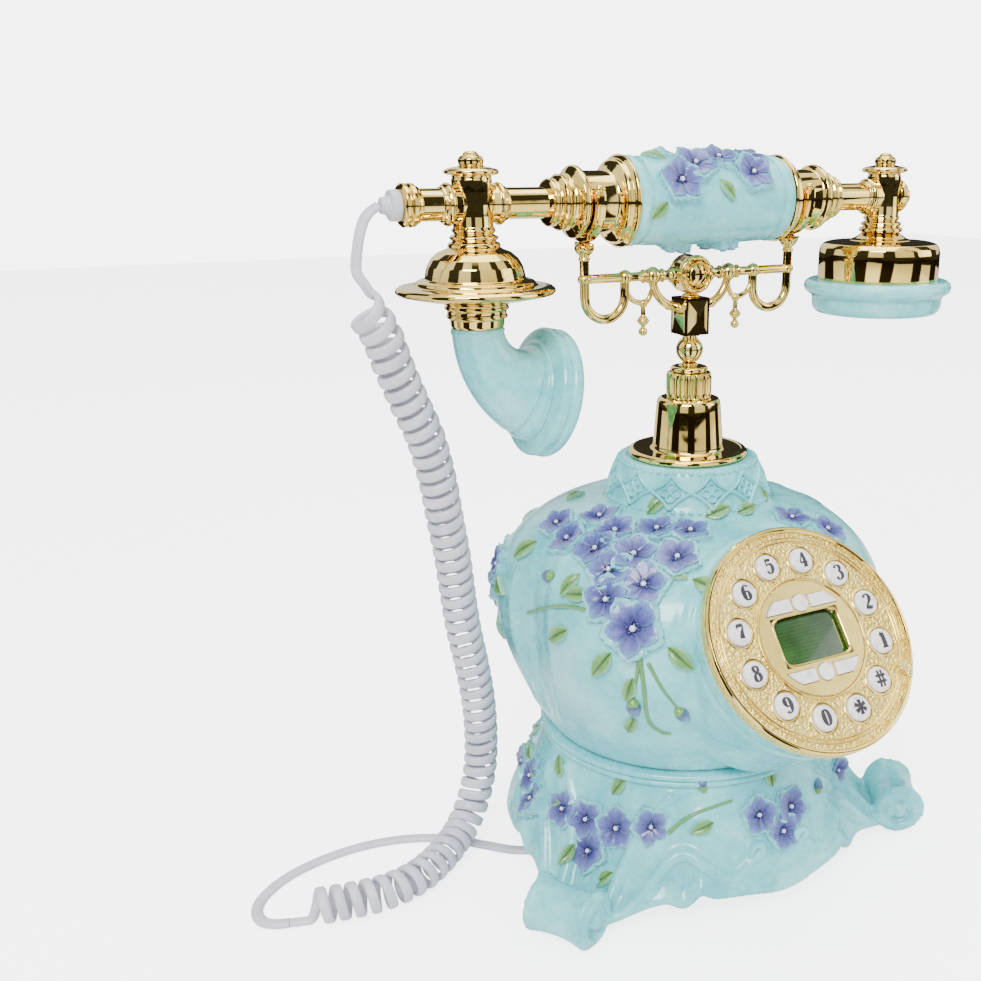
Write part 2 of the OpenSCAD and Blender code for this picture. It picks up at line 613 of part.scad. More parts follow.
module fork() {
    // upright, hook bend and inner rod
    translate([fork_x, 0, hook_bend_z]) cylinder(r = hook_rod_r, h = fork_foot_z - hook_bend_z - 1);
    translate([fork_x - hook_span / 2, 0, hook_bend_z]) rotate([-90, 0, 0]) rotate_extrude(angle = 180)
        translate([hook_span / 2, 0]) circle(r = hook_rod_r, $fn = 32);
    translate([small_bead_x, 0, hook_bend_z]) cylinder(r = hook_rod_r, h = bar_z - hook_bend_z - bar_r);
    translate([small_bead_x, 0, bar_z]) difference() {
        sphere(r = small_bead_r);
        translate([-2 * small_bead_r, 0, 0]) along_x() cylinder(r = bar_r + 0.02, h = 4 * small_bead_r);
    }
    // leaf-shaped foot of the fork
    translate([fork_x, 0, fork_foot_z - 3.4]) cylinder(r1 = hook_rod_r, r2 = 3.2, h = 2.2);
    translate([fork_x, 0, fork_foot_z - 1.3]) cylinder(r1 = 3.2, r2 = 2, h = 1.8);
    // the half ring under the groove and the two arms beside it
    translate([fork_x - fork_w / 2, 0, handset_z]) along_x() rotate([0, 0, -90]) rotate_extrude(angle = 180)
        translate([fork_inner_r, 0]) square([fork_t, fork_w]);
    for (y = [-1, 1]) translate([fork_x - fork_w / 2, y > 0 ? fork_inner_r : -fork_inner_r - fork_t,
        handset_z - weld]) cube([fork_w, fork_t, 4.4]);
    for (y = [-1, 1]) translate([fork_x - fork_w / 2, y * (fork_inner_r + fork_t / 2), handset_z + 4.2])
        along_x() cylinder(r = fork_t / 2, h = fork_w);
}

module right_fork() color("gold") place() fork();
module left_fork() color("gold") place() mirror([1, 0, 0]) fork();

// ---- Handset --------------------------------------------------------------------------------------

seat_gap = 0.1;                   // round the tube in what slides on it
end_reach = groove_end + 12.4;    // outer end of each gilt grip end
tube_left = -tee_x - 25.4;
tube_right = tee_x + 3;
cap_r = 14.4;

module grip() color("paleturquoise") handset_frame() along_x() rotate_extrude() polygon([
    [tube_r + seat_gap, -grip_half], [grip_r - 2.6, -grip_half], [grip_r - 0.8, -grip_half + 1],
    [grip_r, -grip_half + 3.4], [grip_r + 0.3, 0], [grip_r, grip_half - 3.4],
    [grip_r - 0.8, grip_half - 1], [grip_r - 2.6, grip_half], [tube_r + seat_gap, grip_half]]);

module grip_end() along_x() rotate_extrude() polygon([
    [tube_r + seat_gap, grip_half], [cap_r - 1.2, grip_half], [cap_r, grip_half + 0.6],
    [cap_r, groove_start - 2], [cap_r - 1, groove_start - 0.8], [groove_r, groove_start],
    [groove_r, groove_end], [12, groove_end + 0.3], [12.3, groove_end + 1.6],
    [11, groove_end + 3.6], [8.4, groove_end + 5.6], [8, groove_end + 7.4],
    [8.6, groove_end + 8.2], [8.6, groove_end + 9.4], [7.6, groove_end + 10],
    [7.6, groove_end + 11.2], [7, end_reach], [tube_r + seat_gap, end_reach]]);

module grip_ends() color("gold") handset_frame() {
    grip_end();
    mirror([1, 0, 0]) grip_end();
}

wire_r = 2.6;
module handset_tube() color("gold") handset_frame() difference() {
    union() {
        translate([tube_left, 0, 0]) along_x() cylinder(r = tube_r, h = tube_right - tube_left);
        translate([tube_left, 0, 0]) along_x() rotate_extrude() polygon([[tube_r - 1, 0], [6.4, 0],
            [7, 0.8], [7, 2], [6.3, 2.6], [7, 3.2], [7, 4.6], [6.2, 5.2], [6.2, 6.4], [tube_r - 1, 6.4]]);
    }
    translate([tube_left - past, 0, 0]) along_x() cylinder(r = wire_r, h = tube_right - tube_left - 6);
}

// Barrel, finial and lower neck of a tee, with its cross bore for the tube
module tee(foot) difference() {
    rotate_extrude() polygon([[0, -foot], [8.4, -foot], [8.9, -foot + 0.7], [8.9, -foot + 2.2],
        [7.2, -foot + 3], [7.2, -foot + 4], [8.2, -foot + 4.6], [7.4, -8.4], [tee_r, -7.6],
        [tee_r, 8.2], [6.2, 9], [8.4, 9.5], [9, 10.3], [8.2, 11.2], [4.6, 11.9],
        [4.3, 12.6], [4.4, 14], [3.6, 15.6], [1.8, 16.6], [0, 16.8]]);
    children();
}

module mouth_tee() color("gold") handset_frame() translate([-tee_x, 0, 0]) tee(mouth_neck)
    translate([-20, 0, 0]) along_x() cylinder(r = tube_r + seat_gap, h = 40);

mouth_neck = 14;
ear_neck = 14;

module ear_tee() color("gold") handset_frame() translate([tee_x, 0, 0]) tee(ear_neck)
    translate([-20, 0, 0]) along_x() cylinder(r = tube_r + seat_gap, h = 20 + tube_right - tee_x);

mouth_foot = 41; // from the handset axis down to the elbow
elbow_top_r = 8.9;
wire_way_r = 5;  // the wires run down the middle of the mouthpiece neck

module mouth_flange() color("gold") handset_frame() translate([-tee_x, 0, 0]) rotate_extrude() polygon([
    [wire_way_r, -mouth_neck], [9.6, -mouth_neck], [12.6, -mouth_neck - 1.4], [15.4, -mouth_neck - 4],
    [17, -mouth_neck - 8], [17.4, -mouth_neck - 10], [20.4, -mouth_neck - 11],
    [20.6, -mouth_neck - 12], [mouth_flange_r - 1.4, -mouth_neck - 12.6],
    [mouth_flange_r, -mouth_neck - 13.6], [mouth_flange_r, -mouth_neck - 15],
    [mouth_flange_r - 2, -mouth_neck - 16], [12, -mouth_neck - 18], [10.6, -mouth_neck - 19],
    [10.6, -mouth_neck - 21], [9.6, -mouth_neck - 21.6], [9.6, -mouth_neck - 23.6],
    [8.8, -mouth_neck - 24.2], [8.8, -mouth_foot], [wire_way_r, -mouth_foot]]);

// The elbow is a horn bent in the X-Z plane; its radius grows towards the cup
horn_r = 18.2;
elbow_steps = 14;
function horn(s) = elbow_top_r + 1.2 * s + (horn_r - elbow_top_r - 1.2) * pow(s, 2.2);
function elbow_ring(s) = let (t = elbow_turn * s, r = horn(s))
    [for (i = [0 : 35]) let (a = 10 * i)
        [elbow_bend - (elbow_bend - r * cos(a)) * cos(t), -r * sin(a),
         -(elbow_bend - r * cos(a)) * sin(t)]];

module mouth_elbow() color("paleturquoise") handset_frame() translate([-tee_x, 0, -mouth_foot])
    polyhedron([for (k = [0 : elbow_steps]) each elbow_ring(k / elbow_steps)],
        skin_faces(elbow_steps + 1, 36), convexity = 4);

// The cup's own frame: +Z out of its mouth, origin where the horn meets its back
module cup_frame() handset_frame() translate([-tee_x, 0, -mouth_foot])
    translate([elbow_bend * (1 - cos(elbow_turn)), 0, -elbow_bend * sin(elbow_turn)])
        rotate([0, 180 - elbow_turn, 0]) children();

cup_h = 10.4;
cup_floor = 3;
cup_wall = 2.6;

module mouth_cup() color("paleturquoise") cup_frame() difference() {
    rotate_extrude() polygon([[0, 0], [cup_r - 0.6, 0], [cup_r, 0.6], [cup_r, cup_h - 3],
        [cup_r - 0.8, cup_h - 1], [cup_r - 2.4, cup_h], [0, cup_h]]);
    translate([0, 0, cup_floor]) cylinder(r = cup_r - cup_wall, h = cup_h);
}

module microphone() color("dimgray") cup_frame() translate([0, 0, cup_floor]) cylinder(r = 5, h = 4);

module ear_bell() color("gold") handset_frame() translate([tee_x, 0, 0]) difference() {
    rotate_extrude() polygon([[0, -ear_neck], [9.4, -ear_neck], [10.4, -ear_neck - 2],
        [12.4, -ear_neck - 3.6], [ear_bell_r - 3, -ear_neck - 4.4], [ear_bell_r - 0.8, -ear_neck - 5.4],
        [ear_bell_r, -ear_neck - 7.6], [ear_bell_r, ear_top], [0, ear_top]]);
    translate([0, 0, ear_top - past]) cylinder(r = ear_bell_r - 2, h = 11 + past);
}

ear_top = -ear_neck - ear_bell_h;
module ear_ring() color("paleturquoise") handset_frame() translate([tee_x, 0, 0]) difference() {
    rotate_extrude() polygon([[0, ear_top], [ear_bell_r + 1, ear_top], [ear_roll_r - 1.4, ear_top - 0.6],
        [ear_roll_r, ear_top - 2.6], [ear_roll_r - 1, ear_top - 4.8], [ear_roll_r - 3.4, ear_top - 6],
        [ear_roll_r - 3.8, ear_top - 11.4], [ear_roll_r - 6, ear_top - 13.8], [0, ear_top - 13.8]]);
    translate([0, 0, ear_top - 3]) cylinder(r = ear_bell_r - 3, h = 3 + past);
    translate([0, 0, ear_top - 14.8]) cylinder(r = ear_roll_r - 9, h = 9.8);
    for (i = [0 : 5]) rotate([0, 0, 60 * i]) translate([8, 0, ear_top - 6])
        cylinder(r = 1.2, h = 6, $fn = 24);
}

module receiver() color("dimgray") handset_frame() translate([tee_x, 0, ear_top - 3])
    cylinder(r = ear_bell_r - 3.6, h = 7);

grommet_w = 3.6;
module cord_grommet() color("lightgray") handset_frame() translate([tube_left - grommet_w, 0, 0]) {
    along_x() cylinder(r = 5, h = grommet_w);
    translate([-2.4, 0, 0]) along_x() cylinder(r1 = 2.6, r2 = 3.4, h = 2.4 + weld);
}

// ---- Cord -----------------------------------------------------------------------------------------
// Points along the middle of the cord, from the handset to where the curls end. The first is the
// mouth of the grommet.
coil_route = [[-120, 0, 265], [-125, 0, 261.5], [-129.5, 0, 253], [-132, 0, 243.5], [-128.5, 0.3, 235],
    [-122, 1.5, 225], [-117, 4, 212], [-111.5, 6.5, 199], [-105.5, 9, 185], [-101, 12, 169],
    [-97.5, 15.5, 152], [-94, 19, 135], [-91.3, 22.5, 118], [-88.4, 25.5, 101], [-84.6, 28.5, 84],
    [-81.6, 31, 67], [-80.2, 33, 50], [-81, 33.5, 34], [-85.5, 31.5, 20], [-94, 26, 10.5],
    [-106, 16.5, 7.5], [-119, 8, 7.4], [-133, 4.6, 7.4], [-147, 6, 7.4], [-162, 9.6, 7.4],
    [-172, 13, 7.4]];
// Points along the flat lead, from the end of the curls to the plug
lead_route = [[-172, 13, 1.5], [-175, 14.4, 1.4], [-178.6, 18, 1.3], [-179.6, 24, 1.3], [-177, 31, 1.3],
    [-170, 38, 1.3], [-160, 43.5, 1.3], [-147, 47, 1.3], [-133, 48, 1.3], [-119, 46, 1.3],
    [-106, 41, 1.3], [-95, 33.5, 1.3], [-85, 23, 1.3], [-76, 13.5, 1.4], [-68, 8, 2.2], [-60, 5, 4.8],
    [-53, 3.8, 8.4], [-47, 3.4, 11.8], [-41, 3.3, 14.2], [-35.5, 3.3, 15.4], [plug_x, 3.3, plug_z]];

function spline(p, i, t) = let (n = len(p), a = p[max(i - 1, 0)], b = p[i], c = p[min(i + 1, n - 1)],
    d = p[min(i + 2, n - 1)])
    0.5 * (2 * b + (c - a) * t + (2 * a - 5 * b + 4 * c - d) * t * t + (3 * b - a - 3 * c + d) * t * t * t);
function smooth(p, n) = concat([for (i = [0 : len(p) - 2], k = [0 : n - 1]) spline(p, i, k / n)],
    [p[len(p) - 1]]);
function unit(v) = v / norm(v);
// Running length at each point of a line
function lengths(p, i = 1, sum = [0]) = i >= len(p) ? sum
    : lengths(p, i + 1, concat(sum, [sum[i - 1] + norm(p[i] - p[i - 1])]));
function at_length(p, l, s, i) = let (f = (s - l[i]) / (l[i + 1] - l[i])) p[i] * (1 - f) + p[i + 1] * f;
function span(l, s, i = 0) = i >= len(l) - 2 || l[i + 1] >= s ? i : span(l, s, i + 1);
function step_up(x) = let (t = min(max(x, 0), 1)) t * t * (3 - 2 * t);

// A flat tube along points: each cross-section has six corners, square to the line
function section(c, t, out, w, h) = let (a = unit(out - t * (out * t)), b = cross(t, a))
    [for (q = [[-0.5, 0], [-0.3, 0.5], [0.3, 0.5], [0.5, 0], [0.3, -0.5], [-0.3, -0.5]])
        c + a * (q[1] * h) + b * (q[0] * w)];
module flat_tube(p, outs, w, h) {
    n = len(p);
    points = [for (i = [0 : n - 1])
        each section(p[i], unit(p[min(i + 1, n - 1)] - p[max(i - 1, 0)]), outs[i], w, h)];
    polyhedron(points, skin_faces(n, 6), convexity = 10);
}

route = smooth(coil_route, 8);
run = lengths(route);
start_run = run[8 * 4];              // the curls begin at the fifth point
end_run = run[len(run) - 1] - 9;     // and end this far before the last
turn_length = (end_run - start_run) / curls;
side_dir = [0.5, -0.866, 0];

// Turns made at a running length; the first and last half turn start and stop gently
function turns(s) = let (x = (s - start_run) / turn_length, e = (end_run - s) / turn_length)
    x <= 0 ? 0 : e <= 0 ? curls - 1 : x < 1 ? x * x / 2 : e < 1 ? curls - 1 - e * e / 2 : x - 0.5;
function curl_centre(s) = let (i = span(run, s)) at_length(route, run, s, i);
function curl_dir(s) = let (i = span(run, s)) unit(route[i + 1] - route[i]);
function curl_out(s) = let (t = curl_dir(s), n = unit(cross(t, side_dir)), b = cross(t, n),
    a = 360 * turns(s) + first_angle) n * cos(a) + b * sin(a);
function curl_point(s) = curl_centre(s) + curl_out(s) * curl_r * step_up(s / start_run);
// the whole turns end with the cord lying under the curls
first_angle = 180;

per_curl = 8;
coil_rings = concat([for (i = [0 : 23]) start_run * i / 24],
    [for (i = [0 : per_curl * curls]) start_run + (end_run - start_run) * i / (per_curl * curls)],
    [end_run + 3, end_run + 6, end_run + 9]);

curl_points = [for (s = coil_rings) curl_point(s)];
curl_outs = [for (s = coil_rings) curl_out(s)];

// Least distance between the corners of one curl and those of the next
function corners(i) = section(curl_points[i], unit(curl_points[i + 1] - curl_points[i - 1]),
    curl_outs[i], cord_w, cord_t);
function self_gap() = min([for (i = [24 : len(curl_points) - 12], j = [i + 6 : i + 10])
    if (j < len(curl_points) - 1) min([for (a = corners(i), b = corners(j)) norm(a - b)])]);

module curly_cord() color("thistle") place() {
    echo(least_gap_between_curls = self_gap());
    echo(curled_length = lengths(curl_points)[len(curl_points) - 1]);
    flat_tube(curl_points, curl_outs, cord_w, cord_t);
}

module cord_lead() color("thistle") place() {
    p = smooth(lead_route, 3);
    flat_tube(p, [for (q = p) [0, 0, 1]], cord_w + 1.4, cord_t);
    echo(lead_length = lengths(p)[len(p) - 1]);
}

module cord_plug() color([0.8, 0.82, 0.85, 0.8]) place()
    translate([plug_x, jack_y - (jack_w - 0.4) / 2, plug_z - (jack_h - 0.5) / 2])
        cube([plug_l, jack_w - 0.4, jack_h - 0.5]);

belly_casting();
base_casting();
rubber_feet();
bottom_plate();
bottom_screws();
ringer_cover();
ringer_speaker();
handsfree_speaker();
handset_jack();
line_jack();
main_board();
dial_plate();
dial_centre();
lcd_window();
keypad_board();
pillar_base();
knurled_collar();
hook_spring();
hook_switch();
ringer_slide();
tone_slide();
flash_slide();
cradle_stem();
cradle_bar();
left_fork();
right_fork();
grip();
grip_ends();
handset_tube();
mouth_tee();
mouth_flange();
mouth_elbow();
mouth_cup();
microphone();
ear_tee();
ear_bell();
ear_ring();
receiver();
cord_grommet();
curly_cord();
cord_lead();
cord_plug();
number_key(0);  // key_1
number_key(1);  // key_2
number_key(2);  // key_3
number_key(3);  // key_4
number_key(4);  // key_5
number_key(5);  // key_6
number_key(6);  // key_7
number_key(7);  // key_8
number_key(8);  // key_9
number_key(9);  // key_0
number_key(10);  // key_star
number_key(11);  // key_hash
function_key(0, -1);  // redial_key
function_key(0, 0);  // set_key
function_key(0, 1);  // handsfree_key
function_key(180, 1);  // up_key
function_key(180, 0);  // out_key
function_key(180, -1);  // down_key
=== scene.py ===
"""Ornate push-button telephone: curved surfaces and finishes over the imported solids.

Lengths are in millimetres from the pillar's axis and the floor, and turn to metres when a mesh is made.
"""
import json
import math
import numpy as np
import bpy
import bmesh
from mathutils import Matrix, Vector
from mathutils.bvhtree import BVHTree

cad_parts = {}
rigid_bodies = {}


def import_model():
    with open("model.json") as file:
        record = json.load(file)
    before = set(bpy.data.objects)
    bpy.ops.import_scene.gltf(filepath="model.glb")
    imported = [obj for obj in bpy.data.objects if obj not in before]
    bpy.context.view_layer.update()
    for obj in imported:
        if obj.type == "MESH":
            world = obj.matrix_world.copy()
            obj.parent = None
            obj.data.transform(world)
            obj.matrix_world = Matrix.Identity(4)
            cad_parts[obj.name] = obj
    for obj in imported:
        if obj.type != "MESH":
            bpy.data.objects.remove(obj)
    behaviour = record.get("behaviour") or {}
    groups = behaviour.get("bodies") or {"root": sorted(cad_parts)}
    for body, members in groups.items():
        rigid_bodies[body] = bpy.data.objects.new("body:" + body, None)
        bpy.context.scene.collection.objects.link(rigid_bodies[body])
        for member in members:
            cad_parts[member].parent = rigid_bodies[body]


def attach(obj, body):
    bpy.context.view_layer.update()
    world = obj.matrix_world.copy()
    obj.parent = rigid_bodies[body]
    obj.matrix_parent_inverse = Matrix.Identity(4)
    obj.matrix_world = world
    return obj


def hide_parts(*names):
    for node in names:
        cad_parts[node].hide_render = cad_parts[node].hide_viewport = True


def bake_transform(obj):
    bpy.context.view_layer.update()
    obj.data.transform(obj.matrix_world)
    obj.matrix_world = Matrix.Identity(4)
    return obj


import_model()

bl_info = {
    "name": "Ornate push-button telephone",
    "version": (1, 0, 0),
    "blender": (4, 5, 0),
    "location": "View3D > Sidebar > Telephone",
    "description": "Builds the cast body, gilt fittings, keys, flowers and cord of an ornate telephone",
    "category": "Object",
}

MM = 0.001
AXIS = np.array([-2.5, 2.0, 0.0])      # the pillar's axis in the shared frame
HANDSET = np.array([3.0, 0.0, 265.0])  # middle of the handset's tube
TEE_X = 90.6                           # the two tees, left and right of it
X, Y, Z = np.eye(3)
TILT = math.radians(39.4)              # the dial leans back by this much
DIAL_O = np.array([0.0, -82.4, 119.4])
DIAL_U = X
DIAL_V = np.array([0.0, math.sin(TILT), math.cos(TILT)])
DIAL_N = np.array([0.0, -math.cos(TILT), math.sin(TILT)])


# ---------------------------------------------------------------- numpy surfaces

def smoothstep(x):
    """3x^2 - 2x^3 between 0 and 1, flat outside."""
    x = np.clip(x, 0, 1)
    return x * x * (3 - 2 * x)


def unit(v):
    """Each vector divided by its length."""
    return v / np.maximum(np.linalg.norm(v, axis=-1, keepdims=True), 1e-9)


def quads(rows, cols, wrap_rows=False, wrap_cols=True):
    """Four corners of each cell of a grid: this column, the next, and the same in the next row."""
    i = np.arange(rows if wrap_rows else rows - 1)[:, None]
    j = np.arange(cols if wrap_cols else cols - 1)[None, :]
    i2, j2 = (i + 1) % rows, (j + 1) % cols
    return np.stack([i * cols + j, i * cols + j2, i2 * cols + j2, i2 * cols + j], -1).reshape(-1, 4)


def place(points, origin, u, v, n):
    """Origin plus x along u, y along v and z along n."""
    return np.asarray(origin, float) + points[..., :1] * u + points[..., 1:2] * v + points[..., 2:3] * n


def rounded(profile, cut=0.35, steps=4):
    """A profile with each corner replaced by a parabola that starts and ends a cut's length away."""
    p = np.asarray(profile, float)
    back, ahead = p[:-2] - p[1:-1], p[2:] - p[1:-1]
    lb, la = np.linalg.norm(back, axis=1), np.linalg.norm(ahead, axis=1)
    c = np.minimum(cut, 0.45 * np.minimum(lb, la))[:, None]
    a, b = p[1:-1] + unit(back) * c, p[1:-1] + unit(ahead) * c
    t = np.linspace(0, 1, steps)[None, :, None]
    arc = (1 - t) ** 2 * a[:, None] + 2 * t * (1 - t) * p[1:-1, None] + t ** 2 * b[:, None]
    return np.vstack([p[:1], arc.reshape(-1, 2), p[-1:]])


def catmull(points, steps):
    """Catmull-Rom spline through points with clamped ends, steps pieces between each two."""
    p = np.asarray(points, float)
    q = np.vstack([p[:1], p, p[-1:]])
    t = (np.arange(steps) / steps)[None, :, None]
    a, b, c, d = (q[k:len(q) - 3 + k][:, None] for k in range(4))
    out = 0.5 * (2 * b + (c - a) * t + (2 * a - 5 * b + 4 * c - d) * t ** 2
                 + (3 * b - a - 3 * c + d) * t ** 3)
    return np.vstack([out.reshape(-1, p.shape[1]), p[-1:]])


class Shell:
    """Patches of points and faces that become one mesh."""

    def __init__(self):
        self.points, self.faces, self.mats, self.paint, self.count = [], [], [], [], 0

    def add(self, points, faces, mat=0, paint=None):
        """Adds a patch. Paint is a colour for each point, or one for all."""
        points = np.asarray(points, float).reshape(-1, 3)
        self.points.append(points)
        self.faces.append(np.asarray(faces) + self.count)
        self.mats.append(np.full(len(faces), mat))
        colour = (1, 1, 1) if paint is None else paint
        self.paint.append(np.broadcast_to(np.asarray(colour, float).reshape(-1, 3), points.shape))
        self.count += len(points)
        return self

    def grid(self, points, mat=0, paint=None, wrap_rows=False, wrap_cols=True):
        """Adds a grid of points given as rows x columns x 3."""
        rows, cols = points.shape[:2]
        if paint is not None and np.ndim(paint) > 1:
            paint = np.asarray(paint).reshape(-1, 3)
        return self.add(points, quads(rows, cols, wrap_rows, wrap_cols), mat, paint)

    def lathe(self, profile, frame_=(np.zeros(3), X, Y, Z), n=96, mat=0, cut=0.3, paint=None):
        """Profile (radius, height) turned round n: r cos a along u, r sin a along v. A profile that starts
        or ends off the axis is closed into a ring."""
        p = rounded(profile, cut) if cut else np.asarray(profile, float)
        a = np.linspace(0, 2 * math.pi, n, endpoint=False)
        pts = np.stack([p[:, :1] * np.cos(a), p[:, :1] * np.sin(a),
                        np.broadcast_to(p[:, 1:], (len(p), n))], -1)
        ring = p[0, 0] > 0.01 and p[-1, 0] > 0.01
        return self.grid(place(pts, *frame_), mat, paint, wrap_rows=ring)

    def ball(self, centre, r, n=32, mat=0, squash=1.0, paint=None, axis=(X, Y, Z)):
        """r cos b across and r squash sin b along the axis, turned round it."""
        b = np.linspace(-math.pi / 2, math.pi / 2, n // 2 + 1)
        prof = np.stack([r * np.cos(b), r * squash * np.sin(b)], -1)
        return self.lathe(prof, (np.asarray(centre, float),) + tuple(axis), n, mat, 0, paint)

    def sweep(self, path, section, ref, mat=0, scale=None, closed=False, paint=None):
        """Section (p, q) carried along a path: p along ref made square to the path, q square to both."""
        path = np.asarray(path, float)
        if closed:
            t = unit(np.roll(path, -1, 0) - np.roll(path, 1, 0))
        else:
            t = unit(np.gradient(path, axis=0))
        ref = np.broadcast_to(np.asarray(ref, float), path.shape)
        p = unit(ref - (ref * t).sum(1, keepdims=True) * t)
        q = np.cross(t, p)
        s = np.asarray(section, float)
        k = np.ones(len(path)) if scale is None else np.asarray(scale, float)
        pts = path[:, None] + k[:, None, None] * (s[None, :, :1] * p[:, None] + s[None, :, 1:] * q[:, None])
        if not closed:
            pts = np.concatenate([np.repeat(path[:1, None], len(s), 1), pts,
                                  np.repeat(path[-1:, None], len(s), 1)])
        if paint is not None and np.ndim(paint) > 1:
            paint = np.repeat(paint, len(s), 0)
        return self.grid(pts, mat, paint, wrap_rows=closed)

    def tube(self, path, r, ref=Z, n=16, mat=0, scale=None, closed=False):
        """A circle of radius r carried along a path."""
        a = np.linspace(0, 2 * math.pi, n, endpoint=False)
        return self.sweep(path, np.stack([r * np.cos(a), r * np.sin(a)], -1), ref, mat, scale, closed)


def turned(axis, at):
    """Frame of a piece turned round an axis: z, x (height along +X) or -y (towards the front)."""
    at = np.asarray(at, float)
    return {"z": (at, X, Y, Z), "x": (at, Y, Z, X), "-x": (at, -Y, Z, -X), "-y": (at, X, Z, -Y),
            "y": (at, -X, Z, Y)}[axis]


def mesh_object(name, shell, materials, sharp=40, merge=True):
    """One object from a shell: doubles merged, normals turned outwards, smooth but for sharp edges."""
    pts = (np.vstack(shell.points) + AXIS) * MM
    mesh = bpy.data.meshes.new(name)
    faces = [f for part in shell.faces for f in part.tolist()]
    mesh.from_pydata(pts.tolist(), [], faces)
    mesh.polygons.foreach_set("material_index", np.concatenate(shell.mats).astype(np.int32))
    paint = np.vstack(shell.paint)
    layer = mesh.color_attributes.new("paint", 'FLOAT_COLOR', 'POINT')
    layer.data.foreach_set("color", np.hstack([paint, np.ones((len(paint), 1))]).astype(np.float32).ravel())
    if merge:
        bm = bmesh.new()
        bm.from_mesh(mesh)
        bmesh.ops.remove_doubles(bm, verts=bm.verts, dist=1e-6)
        bmesh.ops.dissolve_degenerate(bm, edges=bm.edges, dist=1e-7)
        bmesh.ops.recalc_face_normals(bm, faces=bm.faces)
        bm.to_mesh(mesh)
        bm.free()
    for m in materials:
        mesh.materials.append(m)
    mesh.shade_smooth()
    mesh.set_sharp_from_angle(angle=math.radians(sharp))
    obj = bpy.data.objects.new(name, mesh)
    bpy.context.scene.collection.objects.link(obj)
    return obj


def piece(name, shell, materials, body, replaces=(), sharp=40):
    """A mesh object that rides on a body, takes a slot's finish and stands for nodes."""
    if not isinstance(materials, (list, tuple)):
        materials = [materials]
    obj = mesh_object(name, shell, materials, sharp)
    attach(obj, body)
    if replaces:
        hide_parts(*replaces)
    return obj


def points_of(obj):
    """An object's points as an array, in millimetres from the pillar's axis."""
    co = np.empty(len(obj.data.vertices) * 3, np.float32)
    obj.data.vertices.foreach_get("co", co)
    return co.reshape(-1, 3).astype(float) / MM - AXIS


def set_points(obj, pts):
    """Writes an array of points back into an object."""
    co = ((pts + AXIS) * MM).astype(np.float32)
    obj.data.vertices.foreach_set("co", co.ravel())
    obj.data.update()


def normals_of(obj):
    """An object's point normals as an array."""
    n = np.empty(len(obj.data.vertices) * 3, np.float32)
    obj.data.vertex_normals.foreach_get("vector", n)
    return n.reshape(-1, 3).astype(float)


def fused(name, shell, voxel, smooth, materials):
    """Overlapping closed shells fused into one skin by a voxel remesh, then smoothed."""
    raw = mesh_object(name + "_raw", shell, materials)
    mod = raw.modifiers.new("fuse", 'REMESH')
    mod.mode, mod.voxel_size, mod.use_smooth_shade = 'VOXEL', voxel * MM, True
    mod = raw.modifiers.new("even", 'SMOOTH')
    mod.factor, mod.iterations = 0.5, smooth
    depsgraph = bpy.context.evaluated_depsgraph_get()
    mesh = bpy.data.meshes.new_from_object(raw.evaluated_get(depsgraph))
    old = raw.data
    bpy.data.objects.remove(raw)
    bpy.data.meshes.remove(old)
    mesh.name = name
    mesh.materials.clear()
    for m in materials:
        mesh.materials.append(m)
    mesh.shade_smooth()
    obj = bpy.data.objects.new(name, mesh)
    bpy.context.scene.collection.objects.link(obj)
    return obj


def tree_of(*objs):
    """A search tree over the faces of some objects, in metres."""
    verts, faces, base = [], [], 0
    for mesh in (obj.data for obj in objs):
        co = np.empty(len(mesh.vertices) * 3, np.float32)
        corner, start = np.empty(len(mesh.loops), np.int32), np.empty(len(mesh.polygons), np.int32)
        mesh.vertices.foreach_get("co", co)
        mesh.loops.foreach_get("vertex_index", corner)
        mesh.polygons.foreach_get("loop_start", start)
        verts += co.reshape(-1, 3).tolist()
        faces += [face.tolist() for face in np.split(corner + base, start[1:])]
        base = len(verts)
    return BVHTree.FromPolygons(verts, faces)


# ---------------------------------------------------------------- finishes

def linear(hex_colour):
    """sRGB hex to linear red, green and blue."""
    c = np.array([int(hex_colour[i:i + 2], 16) for i in (1, 3, 5)]) / 255
    return tuple(np.where(c <= 0.04045, c / 12.92, ((c + 0.055) / 1.055) ** 2.4))


def node(tree, kind, inputs=None, **settings):
    """Adds a node: settings go on the node, inputs are values or other nodes' outputs."""
    made = tree.nodes.new(kind)
    for name, value in settings.items():
        setattr(made, name, value)
    for name, value in (inputs or {}).items():
        socket = made.inputs[name]
        if isinstance(value, bpy.types.NodeSocket):
            tree.links.new(value, socket)
        elif isinstance(value, str):
            socket.default_value = (*linear(value), 1)
        else:
            socket.default_value = value
    return made


def finish(name, **inputs):
    """A new material with one principled shader."""
    mat = bpy.data.materials.new(name)
    mat.use_nodes = True
    tree = mat.node_tree
    tree.nodes.clear()
    shader = node(tree, "ShaderNodeBsdfPrincipled", {k.replace("_", " "): v for k, v in inputs.items()})
    node(tree, "ShaderNodeOutputMaterial", {"Surface": shader.outputs[0]})
    return mat, tree, shader


def ramp(tree, factor, stops):
    """A colour ramp through (place, hex) stops."""
    made = node(tree, "ShaderNodeValToRGB", {0: factor})
    cr = made.color_ramp
    while len(cr.elements) < len(stops):
        cr.elements.new(0.5)
    for e, (pos, colour) in zip(cr.elements, stops):
        e.position, e.color = pos, (*linear(colour), 1)
    return made.outputs[0]


def noise(tree, size_mm, detail=3.0, rough=0.55, where=None):
    """Noise whose grains are about size_mm wide."""
    where = where or node(tree, "ShaderNodeTexCoord").outputs["Object"]
    return node(tree, "ShaderNodeTexNoise", {"Vector": where, "Scale": 1 / (size_mm * MM), "Detail": detail,
                                             "Roughness": rough}).outputs[0]


